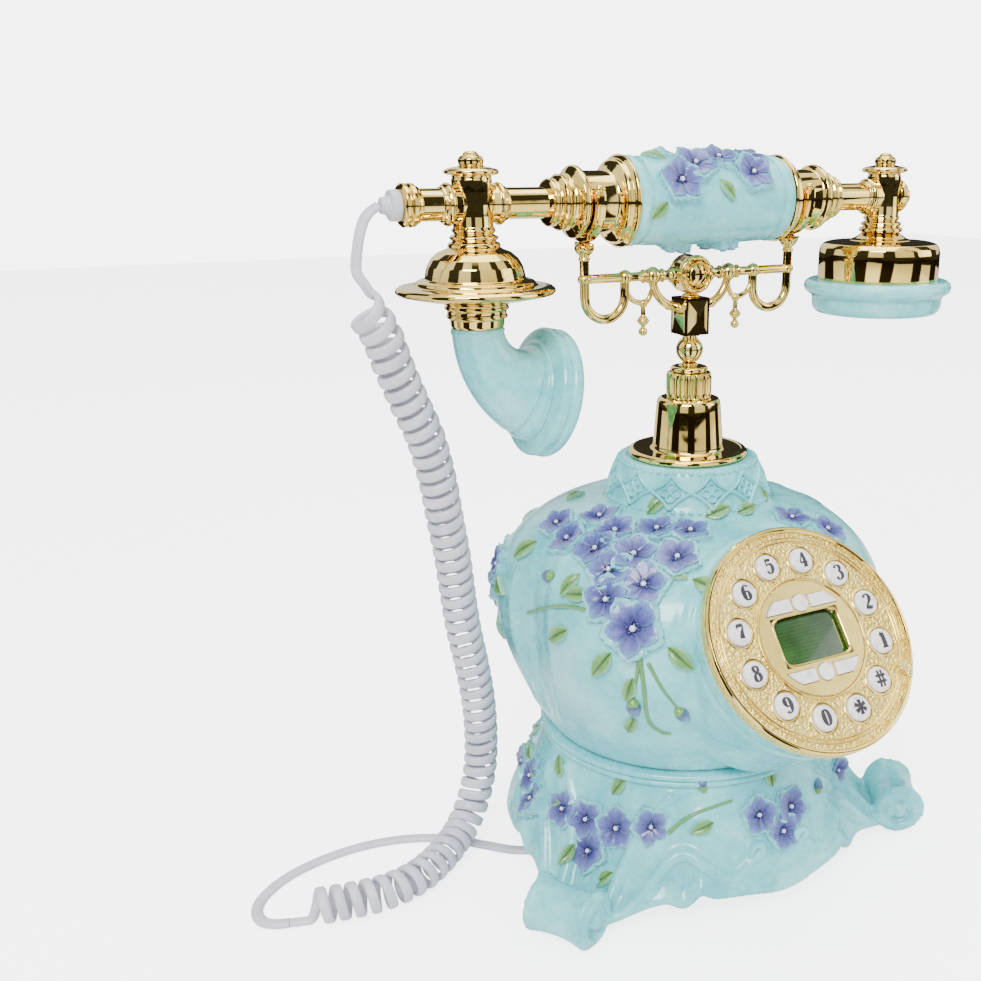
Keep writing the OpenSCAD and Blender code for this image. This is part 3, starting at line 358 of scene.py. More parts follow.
def bump(tree, shader, height, strength, distance_mm, normal=None):
    """Bumps a shader by a height map, distance_mm deep."""
    inputs = {"Height": height, "Strength": strength, "Distance": distance_mm * MM}
    if normal is not None:
        inputs["Normal"] = normal
    out = node(tree, "ShaderNodeBump", inputs).outputs[0]
    tree.links.new(out, shader.inputs["Normal"])
    return out


def spread(tree, value, low, high, to_low, to_high):
    """A value mapped from one range to another."""
    return node(tree, "ShaderNodeMapRange", {0: value, 1: low, 2: high, 3: to_low, 4: to_high}).outputs[0]


def math_(tree, op, a, b=0.0, c=0.0):
    """The output of a math node over up to three values."""
    return node(tree, "ShaderNodeMath", {0: a, 1: b, 2: c}, operation=op).outputs[0]


def cast_resin(name, base, shade, tint):
    """Cast polyester resin, sprayed with enamel and lacquered: soft mottling from the sponged coat, painted
    shade in the hollows from the paint attribute, faint orange peel of 1.5 mm in a glossy clear coat."""
    mat, tree, shader = finish(name, Roughness=0.3, IOR=1.5, Coat_Weight=0.45, Coat_Roughness=0.07)
    # on the resin pieces the paint attribute holds painted shade in the hollows, multiplied into the colour
    # below
    paint = node(tree, "ShaderNodeVertexColor", layer_name="paint").outputs[0]
    cloud = noise(tree, 22, 4)
    fine = noise(tree, 3.2, 5)
    both = math_(tree, 'ADD', cloud, spread(tree, fine, 0.3, 0.7, -0.07, 0.07))
    tone = ramp(tree, both, [(0.34, shade), (0.5, base), (0.7, tint)])
    out = node(tree, "ShaderNodeMix", {"Factor": 1.0, 6: tone, 7: paint}, data_type='RGBA',
               blend_type='MULTIPLY').outputs[2]
    tree.links.new(out, shader.inputs["Base Color"])
    tree.links.new(spread(tree, fine, 0.35, 0.65, 0.2, 0.38), shader.inputs["Roughness"])
    low = bump(tree, shader, noise(tree, 5, 2), 0.25, 0.5)
    bump(tree, shader, noise(tree, 1.5, 2), 0.12, 0.25, low)
    return mat


def painted_relief(name):
    """Hand-painted relief under the same lacquer: thin brushed enamel whose strokes, 0.8 mm wide, let the
    ground show a little."""
    mat, tree, shader = finish(name, Roughness=0.32, IOR=1.5, Coat_Weight=0.4, Coat_Roughness=0.1)
    paint = node(tree, "ShaderNodeVertexColor", layer_name="paint").outputs[0]
    stroke = noise(tree, 1.1, 4)
    brush_wash_and_hollow_shade = ramp(tree, stroke, [(0.3, "#C9D3E8"), (0.5, "#F4F6F8"), (0.72, "#FFFFFF")])
    out = node(tree, "ShaderNodeMix", {"Factor": 1.0, 6: paint, 7: brush_wash_and_hollow_shade}, data_type='RGBA',
               blend_type='MULTIPLY').outputs[2]
    tree.links.new(out, shader.inputs["Base Color"])
    tree.links.new(spread(tree, stroke, 0.3, 0.7, 0.24, 0.42), shader.inputs["Roughness"])
    bump(tree, shader, noise(tree, 0.8, 3), 0.35, 0.2)
    return mat


def gold_plate(name):
    """Brass, polished and gold plated: a near mirror with faint buffing haze and finger smudges, and slow
    waves of 9 mm from the hand polishing."""
    mat, tree, shader = finish(name, Metallic=1.0)
    smudge = noise(tree, 14, 5, 0.6)
    tone = ramp(tree, smudge, [(0.3, "#E6C160"), (0.5, "#F1D272"), (0.72, "#F8E08A")])
    tree.links.new(tone, shader.inputs["Base Color"])
    haze = noise(tree, 1.2, 4)
    both = math_(tree, 'MULTIPLY', smudge, haze)
    tree.links.new(spread(tree, both, 0.15, 0.45, 0.02, 0.07), shader.inputs["Roughness"])
    bump(tree, shader, noise(tree, 9, 1), 0.12, 0.4)
    return mat


def dial_gold(name, stippled=True):
    """Zinc die casting, stippled and satin plated in pale gold: dimples of 0.9 mm, a little coarser than the
    real ones so that they show."""
    mat, tree, shader = finish(name, Metallic=0.85, Roughness=0.36)
    where = node(tree, "ShaderNodeTexCoord").outputs["Object"]
    tone = ramp(tree, noise(tree, 6, 4), [(0.3, "#EBCE68"), (0.5, "#F2D978"), (0.7, "#F8E28C")])
    tree.links.new(tone, shader.inputs["Base Color"])
    if stippled:
        cells = node(tree, "ShaderNodeTexVoronoi", {"Vector": where, "Scale": 1 / (0.95 * MM)},
                     feature='SMOOTH_F1').outputs[0]
        bump(tree, shader, cells, 1.0, 0.9)
    else:
        bump(tree, shader, noise(tree, 0.5, 2), 0.1, 0.1)
    tree.links.new(spread(tree, noise(tree, 2, 3), 0.3, 0.7, 0.28, 0.44), shader.inputs["Roughness"])
    return mat


def pearl_plastic(name):
    """Pearlescent acrylic key caps: milky, with slow swirls of lilac, cream and grey 5 mm across."""
    mat, tree, shader = finish(name, Roughness=0.16, IOR=1.49, Coat_Weight=0.3, Coat_Roughness=0.05,
                               Subsurface_Weight=0.12, Subsurface_Radius=(0.003, 0.003, 0.003),
                               Subsurface_Scale=0.4)
    swirl = node(tree, "ShaderNodeTexNoise", {"Scale": 1 / (5 * MM), "Detail": 3.0, "Distortion": 1.2,
                 "Vector": node(tree, "ShaderNodeTexCoord").outputs["Object"]}).outputs[0]
    tone = ramp(tree, swirl, [(0.28, "#CFC8D4"), (0.45, "#E9E5E6"), (0.58, "#F5F1EA"), (0.75, "#DAD9E4")])
    tree.links.new(tone, shader.inputs["Base Color"])
    bump(tree, shader, noise(tree, 2.5, 2), 0.06, 0.2)
    return mat


def moulded(name, colours, roughness, grain_mm, depth, **extra):
    """Moulded or drawn stock: colours across slow noise, a surface grain of grain_mm, and roughness that
    wanders by a fifth."""
    mat, tree, shader = finish(name, Roughness=roughness, **extra)
    tone = ramp(tree, noise(tree, 9, 4), [(0.3, colours[0]), (0.7, colours[1])])
    tree.links.new(tone, shader.inputs["Base Color"])
    tree.links.new(spread(tree, noise(tree, 3, 3), 0.3, 0.7, roughness * 0.8, min(1, roughness * 1.2)),
                   shader.inputs["Roughness"])
    bump(tree, shader, noise(tree, grain_mm, 3), depth, 0.2)
    return mat


def shop(name):
    """The finish of that name, made once."""
    if name in bpy.data.materials:
        return bpy.data.materials[name]
    size = bpy.context.scene.phone
    makers = {
        "cast_resin_aqua": lambda n: cast_resin(n, hexed(size.resin), "#5CBDC4", "#8EDDE0"),
        "painted_relief": painted_relief,
        "gold_plated_brass": gold_plate,
        "dial_gold_stippled": dial_gold,
        "dial_gold_satin": lambda n: dial_gold(n, False),
        "pearl_acrylic": pearl_plastic,
        "digit_ink": lambda n: moulded(n, ("#26222B", "#38333C"), 0.45, 0.6, 0.1),
        "textured_black_abs": lambda n: moulded(n, ("#222125", "#302F34"), 0.5, 0.7, 0.5),
        "black_rubber": lambda n: moulded(n, ("#151416", "#232224"), 0.75, 0.9, 0.5),
        "cord_jacket_pvc": lambda n: moulded(n, ("#BFBCC8", "#D6D3DC"), 0.36, 1.6, 0.12, IOR=1.53,
                                             Coat_Weight=0.15, Coat_Roughness=0.15),
        "grommet_pvc": lambda n: moulded(n, ("#B4B6BC", "#C6C8CC"), 0.4, 1.2, 0.15),
        "clear_polycarbonate": lambda n: moulded(n, ("#D8DEE2", "#E6EAEC"), 0.12, 2.0, 0.05, IOR=1.58,
                                                 Transmission_Weight=0.6),
        "zinc_plated_steel": lambda n: moulded(n, ("#A8A9AD", "#C3C4C8"), 0.3, 0.8, 0.2, Metallic=1.0),
        "solder_mask_board": lambda n: moulded(n, ("#1F4B33", "#2C5C40"), 0.4, 1.5, 0.2),
        "display_glass": display_glass,
        "speaker_cloth": lambda n: moulded(n, ("#2B2A2D", "#3A393D"), 0.8, 0.6, 0.6),
    }
    return makers[name](name)


def hexed(colour):
    """A linear colour property as sRGB hex."""
    c = np.array(colour[:3])
    s = np.where(c <= 0.0031308, c * 12.92, 1.055 * c ** (1 / 2.4) - 0.055)
    return "#%02X%02X%02X" % tuple(int(round(x * 255)) for x in np.clip(s, 0, 1))


def display_glass(name):
    """Liquid crystal behind acrylic: olive green, with the fine rows of its
    reflector, 0.5 mm apart, under a glossy face."""
    mat, tree, shader = finish(name, Roughness=0.12, IOR=1.49, Coat_Weight=0.6, Coat_Roughness=0.03)
    where = node(tree, "ShaderNodeTexCoord").outputs["Object"]
    rows = node(tree, "ShaderNodeTexWave", {"Vector": where, "Scale": 1 / (3.2 * MM), "Distortion": 0.5},
                bands_direction='Z').outputs[0]
    cloud = noise(tree, 12, 3)
    both = node(tree, "ShaderNodeMath", {0: cloud, 1: spread(tree, rows, 0, 1, -0.06, 0.06)},
                operation='ADD').outputs[0]
    tone = ramp(tree, both, [(0.3, "#14330C"), (0.55, "#234A17"), (0.75, "#315A22")])
    tree.links.new(tone, shader.inputs["Base Color"])
    return mat


# ---------------------------------------------------------------- camera, light and floor

CAM_AT = Vector((-0.2409, -0.3632, 0.2800))
CAM_RIGHT = Vector((0.8637, -0.504, 0.0023)).normalized()
CAM_BACK = Vector((-0.4779, -0.8175, 0.3216)).normalized()
CAM_UP = CAM_BACK.cross(CAM_RIGHT).normalized()
FOCAL_PX, MID_X, MID_Y = 1122.8, 633.5, 538.4


def make_camera():
    """A camera with right, up and back axes, a lens and a shift from a fitted view of 981 x 981."""
    data = bpy.data.cameras.new("camera")
    data.sensor_width, data.lens = 36.0, 36.0 * FOCAL_PX / 981
    data.shift_x, data.shift_y = -(MID_X - 490.5) / 981, (MID_Y - 490.5) / 981
    data.clip_start, data.clip_end = 0.02, 20
    cam = bpy.data.objects.new("camera", data)
    m = Matrix((CAM_RIGHT, CAM_UP, CAM_BACK)).transposed().to_4x4()
    m.translation = CAM_AT
    cam.matrix_world = m
    bpy.context.scene.collection.objects.link(cam)
    bpy.context.scene.camera = cam


def pixel_ray(px, py):
    """Direction through a point of the 981 x 981 view."""
    return (CAM_RIGHT * (px - MID_X) + CAM_UP * (MID_Y - py) - CAM_BACK * FOCAL_PX).normalized()


def gaps_of(tree, x, y):
    """Mask of the black gaps between the tent's panels: 1 inside a wedge of azimuth, 0 between wedges."""

    turn, gaps = math_(tree, 'ARCTAN2', y, x), None
    # azimuth of the middle of each gap and half its width, in degrees
    for az, half in ((-165, 12), (-112, 11), (-52, 9), (-6, 10), (48, 14), (118, 14)):
        side = math_(tree, 'ABSOLUTE', math_(tree, 'WRAP', math_(tree, 'SUBTRACT', turn, math.radians(az)),
                                             math.pi, -math.pi))
        gap = spread(tree, side, math.radians(half), math.radians(half + 2), 1, 0)
        gaps = gap if gaps is None else math_(tree, 'MAXIMUM', gaps, gap)
    return gaps


def make_light():
    """A white tent: even white from all round, with a few black gaps that only polished metal mirrors."""
    world = bpy.data.worlds.new("tent")
    bpy.context.scene.world = world
    world.use_nodes = True
    tree = world.node_tree
    tree.nodes.clear()
    way = node(tree, "ShaderNodeTexCoord").outputs["Generated"]
    x, y, z = node(tree, "ShaderNodeSeparateXYZ", {0: way}).outputs

    low = math_(tree, 'MULTIPLY', spread(tree, z, -0.2, -0.18, 0, 1), spread(tree, z, 0.0, 0.03, 1, 0))
    gaps = math_(tree, 'MAXIMUM', math_(tree, 'MULTIPLY', gaps_of(tree, x, y),
                                        spread(tree, z, 0.82, 0.9, 1, 0)), low)
    sky = spread(tree, z, 0.0, 0.9, 1.15, 1.7)
    glossy = math_(tree, 'MULTIPLY', sky, spread(tree, gaps, 0, 1, 1.0, 0.035))
    ray = node(tree, "ShaderNodeLightPath")
    level = node(tree, "ShaderNodeMix", {0: ray.outputs["Is Glossy Ray"], 2: 1.05, 3: glossy},
                 data_type='FLOAT').outputs[0]
    level = node(tree, "ShaderNodeMix", {0: ray.outputs["Is Camera Ray"], 2: level, 3: 6.0},
                 data_type='FLOAT').outputs[0]
    back = node(tree, "ShaderNodeBackground", {"Color": (0.985, 0.99, 1, 1), "Strength": level})
    node(tree, "ShaderNodeOutputWorld", {"Surface": back.outputs[0]})

    def lamp(name, at, size, watts):
        data = bpy.data.lights.new(name, 'AREA')
        data.shape, data.size, data.size_y, data.energy = 'RECTANGLE', size[0], size[1], watts
        obj = bpy.data.objects.new(name, data)
        obj.location = at
        obj.rotation_euler = (Vector(at) - Vector((0, 0, 0.12))).to_track_quat('Z', 'Y').to_euler()
        bpy.context.scene.collection.objects.link(obj)

    lamp("key", (-0.75, -0.85, 1.15), (0.7, 0.5), 26)
    lamp("top", (0.15, 0.1, 1.5), (1.1, 1.1), 14)
    lamp("fill", (1.1, -0.7, 0.6), (0.8, 0.8), 5)


def make_floor():
    """A pale sweep of seamless paper, 6 m across, with a faint grain."""
    mat, tree, shader = finish("seamless_paper", Roughness=0.6, Specular_IOR_Level=0.0)
    tone = ramp(tree, noise(tree, 300, 2), [(0.3, "#F2F2F4"), (0.7, "#F7F7F8")])
    # the same gaps run on across the paper, for what polished metal mirrors and nothing else
    where = node(tree, "ShaderNodeTexCoord").outputs["Object"]
    x, y, _ = node(tree, "ShaderNodeSeparateXYZ", {0: where}).outputs
    away = node(tree, "ShaderNodeVectorMath", {0: where}, operation='LENGTH').outputs["Value"]
    ray = node(tree, "ShaderNodeLightPath")
    dark = math_(tree, 'MULTIPLY', gaps_of(tree, x, y), spread(tree, away, 0.16, 0.2, 0, 1))
    dark = math_(tree, 'MAXIMUM', dark, spread(tree, away, 2.3, 2.4, 0, 1))
    dark = math_(tree, 'MULTIPLY', dark, ray.outputs["Is Glossy Ray"])
    tone = node(tree, "ShaderNodeMix", {"Factor": dark, 6: tone, 7: "#1E1A14"}, data_type='RGBA').outputs[2]
    tree.links.new(tone, shader.inputs["Base Color"])
    # the paper is lit from behind for the camera alone, so that it shows white
    glow = node(tree, "ShaderNodeEmission", {
        "Color": "#FFFFFF", "Strength": spread(tree, ray.outputs["Is Camera Ray"], 0, 1, 0.0, 3.6)})
    both = node(tree, "ShaderNodeAddShader", {0: shader.outputs[0], 1: glow.outputs[0]})
    out = next(n for n in tree.nodes if n.type == 'OUTPUT_MATERIAL')
    tree.links.new(both.outputs[0], out.inputs["Surface"])
    t = np.linspace(-3000, 3000, 25)
    gx, gy = np.meshgrid(t, t)
    pts = np.stack([gx, gy, np.zeros_like(gx)], -1)
    shell = Shell().grid(pts, wrap_cols=False)
    mesh_object("floor", shell, [mat], merge=False)


# ---------------------------------------------------------------- cord

COIL_ROUTE = [
    [-120, 0, 265], [-125, 0, 261.5], [-129.5, 0, 253], [-132, 0, 243.5], [-128.5, 0.3, 235],
    [-122, 1.5, 225], [-117, 4, 212], [-111.5, 6.5, 199], [-105.5, 9, 185], [-101, 12, 169],
    [-97.5, 15.5, 152], [-94, 19, 135], [-91.3, 22.5, 118], [-88.4, 25.5, 101], [-84.6, 28.5, 84],
    [-81.6, 31, 67], [-80.2, 33, 50], [-81, 33.5, 34], [-85.5, 31.5, 20], [-94, 26, 10.5],
    [-106, 16.5, 7.5], [-119, 8, 7.4], [-133, 4.6, 7.4], [-147, 6, 7.4], [-162, 9.6, 7.4], [-172, 13, 7.4]]
LEAD_ROUTE = [
    [-172, 13, 1.5], [-175, 14.4, 1.4], [-178.6, 18, 1.3], [-179.6, 24, 1.3], [-177, 31, 1.3],
    [-170, 38, 1.3], [-160, 43.5, 1.3], [-147, 47, 1.3], [-133, 48, 1.3], [-119, 46, 1.3],
    [-106, 41, 1.3], [-95, 33.5, 1.3], [-85, 23, 1.3], [-76, 13.5, 1.4], [-68, 8, 2.2], [-60, 5, 4.8],
    [-53, 3.8, 8.4], [-47, 3.4, 11.8], [-41, 3.3, 14.2], [-35.5, 3.3, 15.4], [-30, 3.3, 15.45]]


def cord_path(size):
    """Centreline of the coil and its lead, and the way that the flat section faces at each point.

    The coil's middle follows the route; the cord stands off it by the curl's radius at an angle that grows
    by one turn each 1/curls of the run, and eases in and out at both ends."""
    middle = catmull(COIL_ROUTE, 40)
    run = np.concatenate([[0], np.cumsum(np.linalg.norm(np.diff(middle, axis=0), axis=1))])
    knots = run[::40]
    start, end = knots[4], run[-1] - 9
    curls, radius = size.curls, size.curl_radius / MM
    pitch = (end - start) / (curls - 1)
    count = curls * size.curl_points + 80
    s = np.concatenate([np.linspace(0, start, 60, endpoint=False), np.linspace(start, run[-1], count)])
    centre = np.stack([np.interp(s, run, middle[:, k]) for k in range(3)], -1)
    along = unit(np.stack([np.gradient(np.interp(s, run, middle[:, k]), s) for k in range(3)], -1))
    wide = np.array([0.5, -0.866, 0])
    n = unit(np.cross(along, wide))
    b = np.cross(along, n)
    x, e = (s - start) / pitch, (end - s) / pitch
    turns = np.where(x <= 0, 0, np.where(e <= 0, curls - 1.0, np.where(
        x < 1, x * x / 2, np.where(e < 1, curls - 1 - e * e / 2, x - 0.5))))
    angle = 2 * math.pi * turns + math.pi
    out = np.cos(angle)[:, None] * n + np.sin(angle)[:, None] * b
    path = centre + out * radius * smoothstep(s / start)[:, None]
    lead = catmull(LEAD_ROUTE, 10)
    join = catmull(np.vstack([path[-14], path[-10], path[-1], lead[6], lead[10]]), 8)[8:-8]
    path = np.vstack([path[:-10], join, lead[11:]])
    up = np.vstack([out[:-10], np.repeat(Z[None], len(join) + len(lead) - 11, 0)])
    kernel = np.exp(-np.linspace(-2, 2, 9) ** 2)
    kernel /= kernel.sum()
    tail = len(out) - 40
    soft = np.stack([np.convolve(np.pad(up[:, k], 4, mode="edge"), kernel, "valid") for k in range(3)], -1)
    up[tail:] = unit(soft[tail:])
    wide_half = np.where(np.arange(len(path)) < len(out) - 10, size.cord_width / MM / 2,
                         size.cord_width / MM / 2 * 1.16)
    return path, up, wide_half


def make_cord(size):
    """Flat, round-edged section carried along the cord's path, its broad side facing away from the coil's
    middle: half width times cos a across, half thickness times sin a outwards, both to a power."""
    path, up, half = cord_path(size)
    t = unit(np.gradient(path, axis=0))
    face = unit(up - (up * t).sum(1, keepdims=True) * t)
    side = np.cross(t, face)
    a = np.linspace(0, 2 * math.pi, 14, endpoint=False)
    c, d = np.cos(a), np.sin(a)
    p = np.sign(c) * np.abs(c) ** 0.6
    q = np.sign(d) * np.abs(d) ** 0.8 * size.cord_thickness / MM / 2
    pts = path[:, None] + half[:, None, None] * p[None, :, None] * side[:, None] + q[None, :,
                                                                                     None] * face[:, None]
    pts = np.concatenate([np.repeat(path[:1, None], 14, 1), pts, np.repeat(path[-1:, None], 14, 1)])
    cord = mesh_object("handset_cord", Shell().grid(pts), [shop("cord_jacket_pvc")])
    plug = bpy.data.objects["cord_plug"]
    plug.data.materials.clear()
    plug.data.materials.append(shop("clear_polycarbonate"))
    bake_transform(cord)
    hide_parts("curly_cord", "cord_lead")


# ---------------------------------------------------------------- belly, collar and base

SKIRT_R, SKIRT_Z = 58.1, 52.7   # the top of the skirt, under the ring moulding
FEET = (90, 210, 330)


def foot_share(a):
    """How much of a foot there is at azimuth a: ((1 + cos 3(a - 90)) / 2)^6."""
    return ((1 + np.cos(np.radians(3 * (a - 90)))) / 2) ** 6


def belly_surface(a, k):
    """Radius and height of the belly: k in 0..1 is the lower bowl, 1..2 the upper dome, 2..3 the neck.

    Bowl: 56.9 + 23.1 sin(90k)^0.8 over 51.7 of height. Dome: 33.5 + 46.5 cos t, 109 + 41 sin t. Both are
    drawn in by up to 13 per cent at four valleys, most at half height."""
    u, t, w = np.clip(k, 0, 1), np.radians(90 * np.clip(k - 1, 0, 1)), np.clip(k - 2, 0, 1)
    r = np.where(k < 1, 56.9 + 23.1 * np.sin(np.radians(90 * u)) ** 0.8, 33.5 + 46.5 * np.cos(t))
    z = np.where(k < 1, 57.3 + 51.7 * u, 109 + 41 * np.sin(t))
    r = np.where(k > 2, np.interp(w, [0, 0.08, 0.16, 0.9, 1], [33.6, 33.4, 32, 26.8, 25.8]), r)
    z = np.where(k > 2, np.interp(w, [0, 0.08, 0.16, 0.9, 1], [150.4, 152, 152.8, 167, 168.2]), z)
    hollow = np.where(z <= 150, np.sin(np.radians(180 * np.clip((z - 57.3) / 92.7, 0, 1))), 0)
    valley = ((1 + np.cos(np.radians(4 * a))) / 2) ** 1.6
    return r * (1 - 0.13 * hollow * valley), z


def shade_of(hollow):
    """Painted shade for each point of the casting: white, turning blue-green where it is hollow."""
    # painted shade: the colour that the deepest hollows are darkened to
    brush_wash_and_hollow_shade = np.array([0.62, 0.80, 0.80])
    return 1 - (1 - brush_wash_and_hollow_shade) * np.clip(hollow, 0, 1)[:, None]


def paint_points(obj, colour):
    """Writes a colour for each point into the paint attribute."""
    attr = obj.data.color_attributes
    layer = attr["paint"] if "paint" in attr else attr.new("paint", 'FLOAT_COLOR', 'POINT')
    layer.data.foreach_set("color", np.hstack([colour, np.ones((len(colour), 1))]).astype(np.float32).ravel())


def hollows(obj, rounds=14):
    """How far each point lies below its smoothed surroundings, in millimetres, along its normal. Each round
    moves a point halfway to the mean of its neighbours; the depths are then evened out in the same way."""
    pts, mesh = points_of(obj), obj.data
    edges = np.empty(len(mesh.edges) * 2, np.int32)
    mesh.edges.foreach_get("vertices", edges)
    a, b = edges.reshape(-1, 2).T
    count = np.bincount(a, minlength=len(pts)) + np.bincount(b, minlength=len(pts))
    smooth = pts.copy()
    for _ in range(rounds):
        total = np.stack([np.bincount(a, smooth[b, k], len(pts)) + np.bincount(b, smooth[a, k], len(pts))
                          for k in range(3)], -1)
        smooth = 0.5 * smooth + 0.5 * total / np.maximum(count, 1)[:, None]
    deep = ((smooth - pts) * normals_of(obj)).sum(1)
    for _ in range(14):
        total = np.bincount(a, deep[b], len(pts)) + np.bincount(b, deep[a], len(pts))
        deep = 0.4 * deep + 0.6 * total / np.maximum(count, 1)
    return deep


def make_belly(size):
    """The belly's skin with the dial's round nozzle, fused, then ribbed: each panel gets a raised border
    that swells towards the valleys, and a moulding round the nozzle."""
    n = 240
    az = np.linspace(0, 360, n, endpoint=False)
    k = np.concatenate([np.linspace(0, 1, 44, endpoint=False), np.linspace(1, 2, 56, endpoint=False),
                        np.linspace(2, 3, 24)])
    aa, kk = np.meshgrid(az, k)
    r, z = belly_surface(aa, kk)
    pts = around(r, aa, z)
    low, high = np.zeros((1, n, 3)) + [0, 0, 57.3], np.zeros((1, n, 3)) + [0, 0, 168.2]
    shell = Shell().grid(np.concatenate([low, pts, high]))
    dial = (DIAL_O, DIAL_U, DIAL_V, DIAL_N)
    shell.lathe([(0, -59), (26, -59), (37.5, -49), (38.2, -30), (40.2, -14), (41.6, -5), (42.6, -3.6),
                 (42.6, -3), (0, -3)], dial, 160, cut=0.6)
    body = fused("belly_skin", shell, 1.15, 9, [shop("cast_resin_aqua")])
    p, nrm = points_of(body), normals_of(body)
    rel = p - DIAL_O
    dn, dr = rel @ DIAL_N, np.hypot(rel @ DIAL_U, rel @ DIAL_V)
    a = np.degrees(np.arctan2(p[:, 1], p[:, 0]))
    free = smoothstep((np.hypot(p[:, 0], p[:, 1]) - 36) / 6) * smoothstep((dr - 46) / 8)
    band = smoothstep((p[:, 2] - 62) / 10) * smoothstep((150 - p[:, 2]) / 10)
    from_valley = (a + 45) % 90 - 45
    width = 9 + 5 * np.sin(np.radians(180 * np.clip((p[:, 2] - 57) / 93, 0, 1)))
    rib = np.exp(-((np.abs(from_valley) - width) / 2.6) ** 2) - 0.6 * np.exp(-(from_valley / 3.4) ** 2)
    scroll = np.exp(-((np.hypot(from_valley * 1.2, (p[:, 2] - 76) * 0.9) - 7.5) / 1.8) ** 2)
    push = free * band * (0.85 * rib + 0.5 * scroll)
    collar_ring = np.exp(-((dr - 43.6) / 1.5) ** 2) * np.exp(-((dn + 9) / 3.0) ** 2)
    groove = np.exp(-((dn + 12.5) / 1.5) ** 2) * (dr < 48) * (dn > -30)
    p += nrm * (push + 1.1 * collar_ring - 0.7 * groove)[:, None]
    # the nozzle's mouth is bored to take the dial
    mouth = (dr < 40.6) & (dn > -8)
    p[mouth] += DIAL_N * np.where(dn[mouth] > -3.6, -6 - 7 * smoothstep((38.4 - dr[mouth]) / 1.6), 0)[:, None]
    # the socket of the pillar's flange and the seat on the ring moulding stay flat
    p[:, 2] = np.where((np.hypot(p[:, 0], p[:, 1]) < 25) & (p[:, 2] > 167), 167.9, p[:, 2])
    p[:, 2] = np.maximum(p[:, 2], 57.3)
    set_points(body, p)
    # painted shade: the hollows of the belly are darkened blue-green
    paint_points(body, shade_of(hollows(body, 26) * 0.9))
    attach(body, "base")
    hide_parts("belly_casting")
    make_collar()
    return body


def make_collar():
    """Relief round the belly's neck: twelve diamonds, each with four round leaves and an eye, between two
    cords of beads. Flat relief is wrapped on the cone: x runs round it and y up its slope."""
    shell = Shell()
    r0, z0, r1, z1 = 32.2, 153.0, 27.0, 166.8
    slope = math.hypot(r1 - r0, z1 - z0)
    across, up = 2 * math.pi * 29.6 / 12, slope

    def wrap(flat, at):
        """Point x round, y up and h off the cone."""
        t = flat[..., 1] / slope
        r = r0 + (r1 - r0) * t + flat[..., 2] * (z1 - z0) / slope
        z = z0 + (z1 - z0) * t + flat[..., 2] * (r0 - r1) / slope
        a = at + flat[..., 0] / 29.6
        return np.stack([r * np.cos(a), r * np.sin(a), z], -1)

    def strip(path, half, height, at, closed=False):
        """A flat path with a half-round section of that half width and height."""
        path = np.asarray(path, float)
        t = unit(np.gradient(path, axis=0)) if not closed else unit(np.roll(path, -1, 0) - np.roll(path, 1,
                                                                                                   0))
        n_ = np.stack([-t[:, 1], t[:, 0]], -1)
        b = np.linspace(0, 2 * math.pi, 8, endpoint=False)
        flat = np.concatenate([path[:, None] + half * np.cos(b)[None, :, None] * n_[:, None],
                               np.broadcast_to((height * np.sin(b))[None, :, None], (len(path), 8, 1))], -1)
        shell.grid(wrap(flat, at), wrap_rows=closed)

    s = np.linspace(0, 1, 25)
    for i in range(12):
        at = 2 * math.pi * (i + 0.5) / 12
        bow = 1.1 * np.sin(math.pi * s)
        for sx, sy in ((1, 1), (1, -1), (-1, 1), (-1, -1)):
            x = sx * (across / 2) * (1 - s)
            y = up / 2 + sy * (up / 2 - 0.8) * s
            strip(np.stack([x - sx * bow * 0.5, y - sy * bow * 0.5], -1), 0.8, 1.6, at)
        a = np.linspace(0, 2 * math.pi, 28, endpoint=False)
        for q in range(4):
            t = math.pi / 2 * q
            c = np.array([math.cos(t), math.sin(t)]) * 2.0
            strip(np.stack([c[0] + 1.55 * np.cos(a), up / 2 + c[1] + 1.55 * np.sin(a)], -1), 0.55, 1.25, at,
                  True)
        eye = wrap(np.array([[0, up / 2, 0.3]]), at)[0]
        shell.ball(eye, 0.95, 12)
    for count, t, rad in ((60, 0.0, 0.95), (54, 1.0, 0.85)):
        for a in np.linspace(0, 2 * math.pi, count, endpoint=False):
            c = wrap(np.array([[0, up * t, 0.15]]), a)[0]
            shell.ball(c, rad * 1.25, 8, squash=0.9)
    piece("collar_lattice", shell, shop("cast_resin_aqua"), "base")


def edge_line(a):
    """Radius and height of the skirt's lower edge at azimuth a: round and scalloped between the feet, run
    out and down at each foot, with a cusp and a notch on each side of every foot."""
    w = foot_share(a)
    off = (a - 90 + 60) % 120 - 60
    cusp = np.exp(-((np.abs(off) - 28) / 3.2) ** 2)
    notch = np.exp(-((np.abs(off) - 33) / 2.2) ** 2)
    droop = np.exp(-((60 - np.abs(off)) / 9.0) ** 2)
    z = 2 * w + (12.6 - 3.6 * cusp + 2.6 * notch - 2.4 * droop) * (1 - w)
    return 76 + 14 * w, z


def flank(a, s):
    """Radius and height of the skirt at azimuth a and share s of the way from its top to its edge: the
    height runs evenly, the radius by (1 - w) s + w s^1.9 with the share w of a foot."""
    w = foot_share(a)
    er, ez = edge_line(a)
    return SKIRT_R + (er - SKIRT_R) * (w * s ** 1.9 + (1 - w) * s), SKIRT_Z + (ez - SKIRT_Z) * s


def flank_at(a, z):
    """Radius of the skirt at azimuth a and height z."""
    share = (SKIRT_Z - z) / (SKIRT_Z - edge_line(a)[1])
    return flank(a, np.clip(share, 0, 1))[0]


def around(r, a, z):
    """Points at radius r, azimuth a in degrees and height z."""
    return np.stack([r * np.cos(np.radians(a)), r * np.sin(np.radians(a)), z], -1)


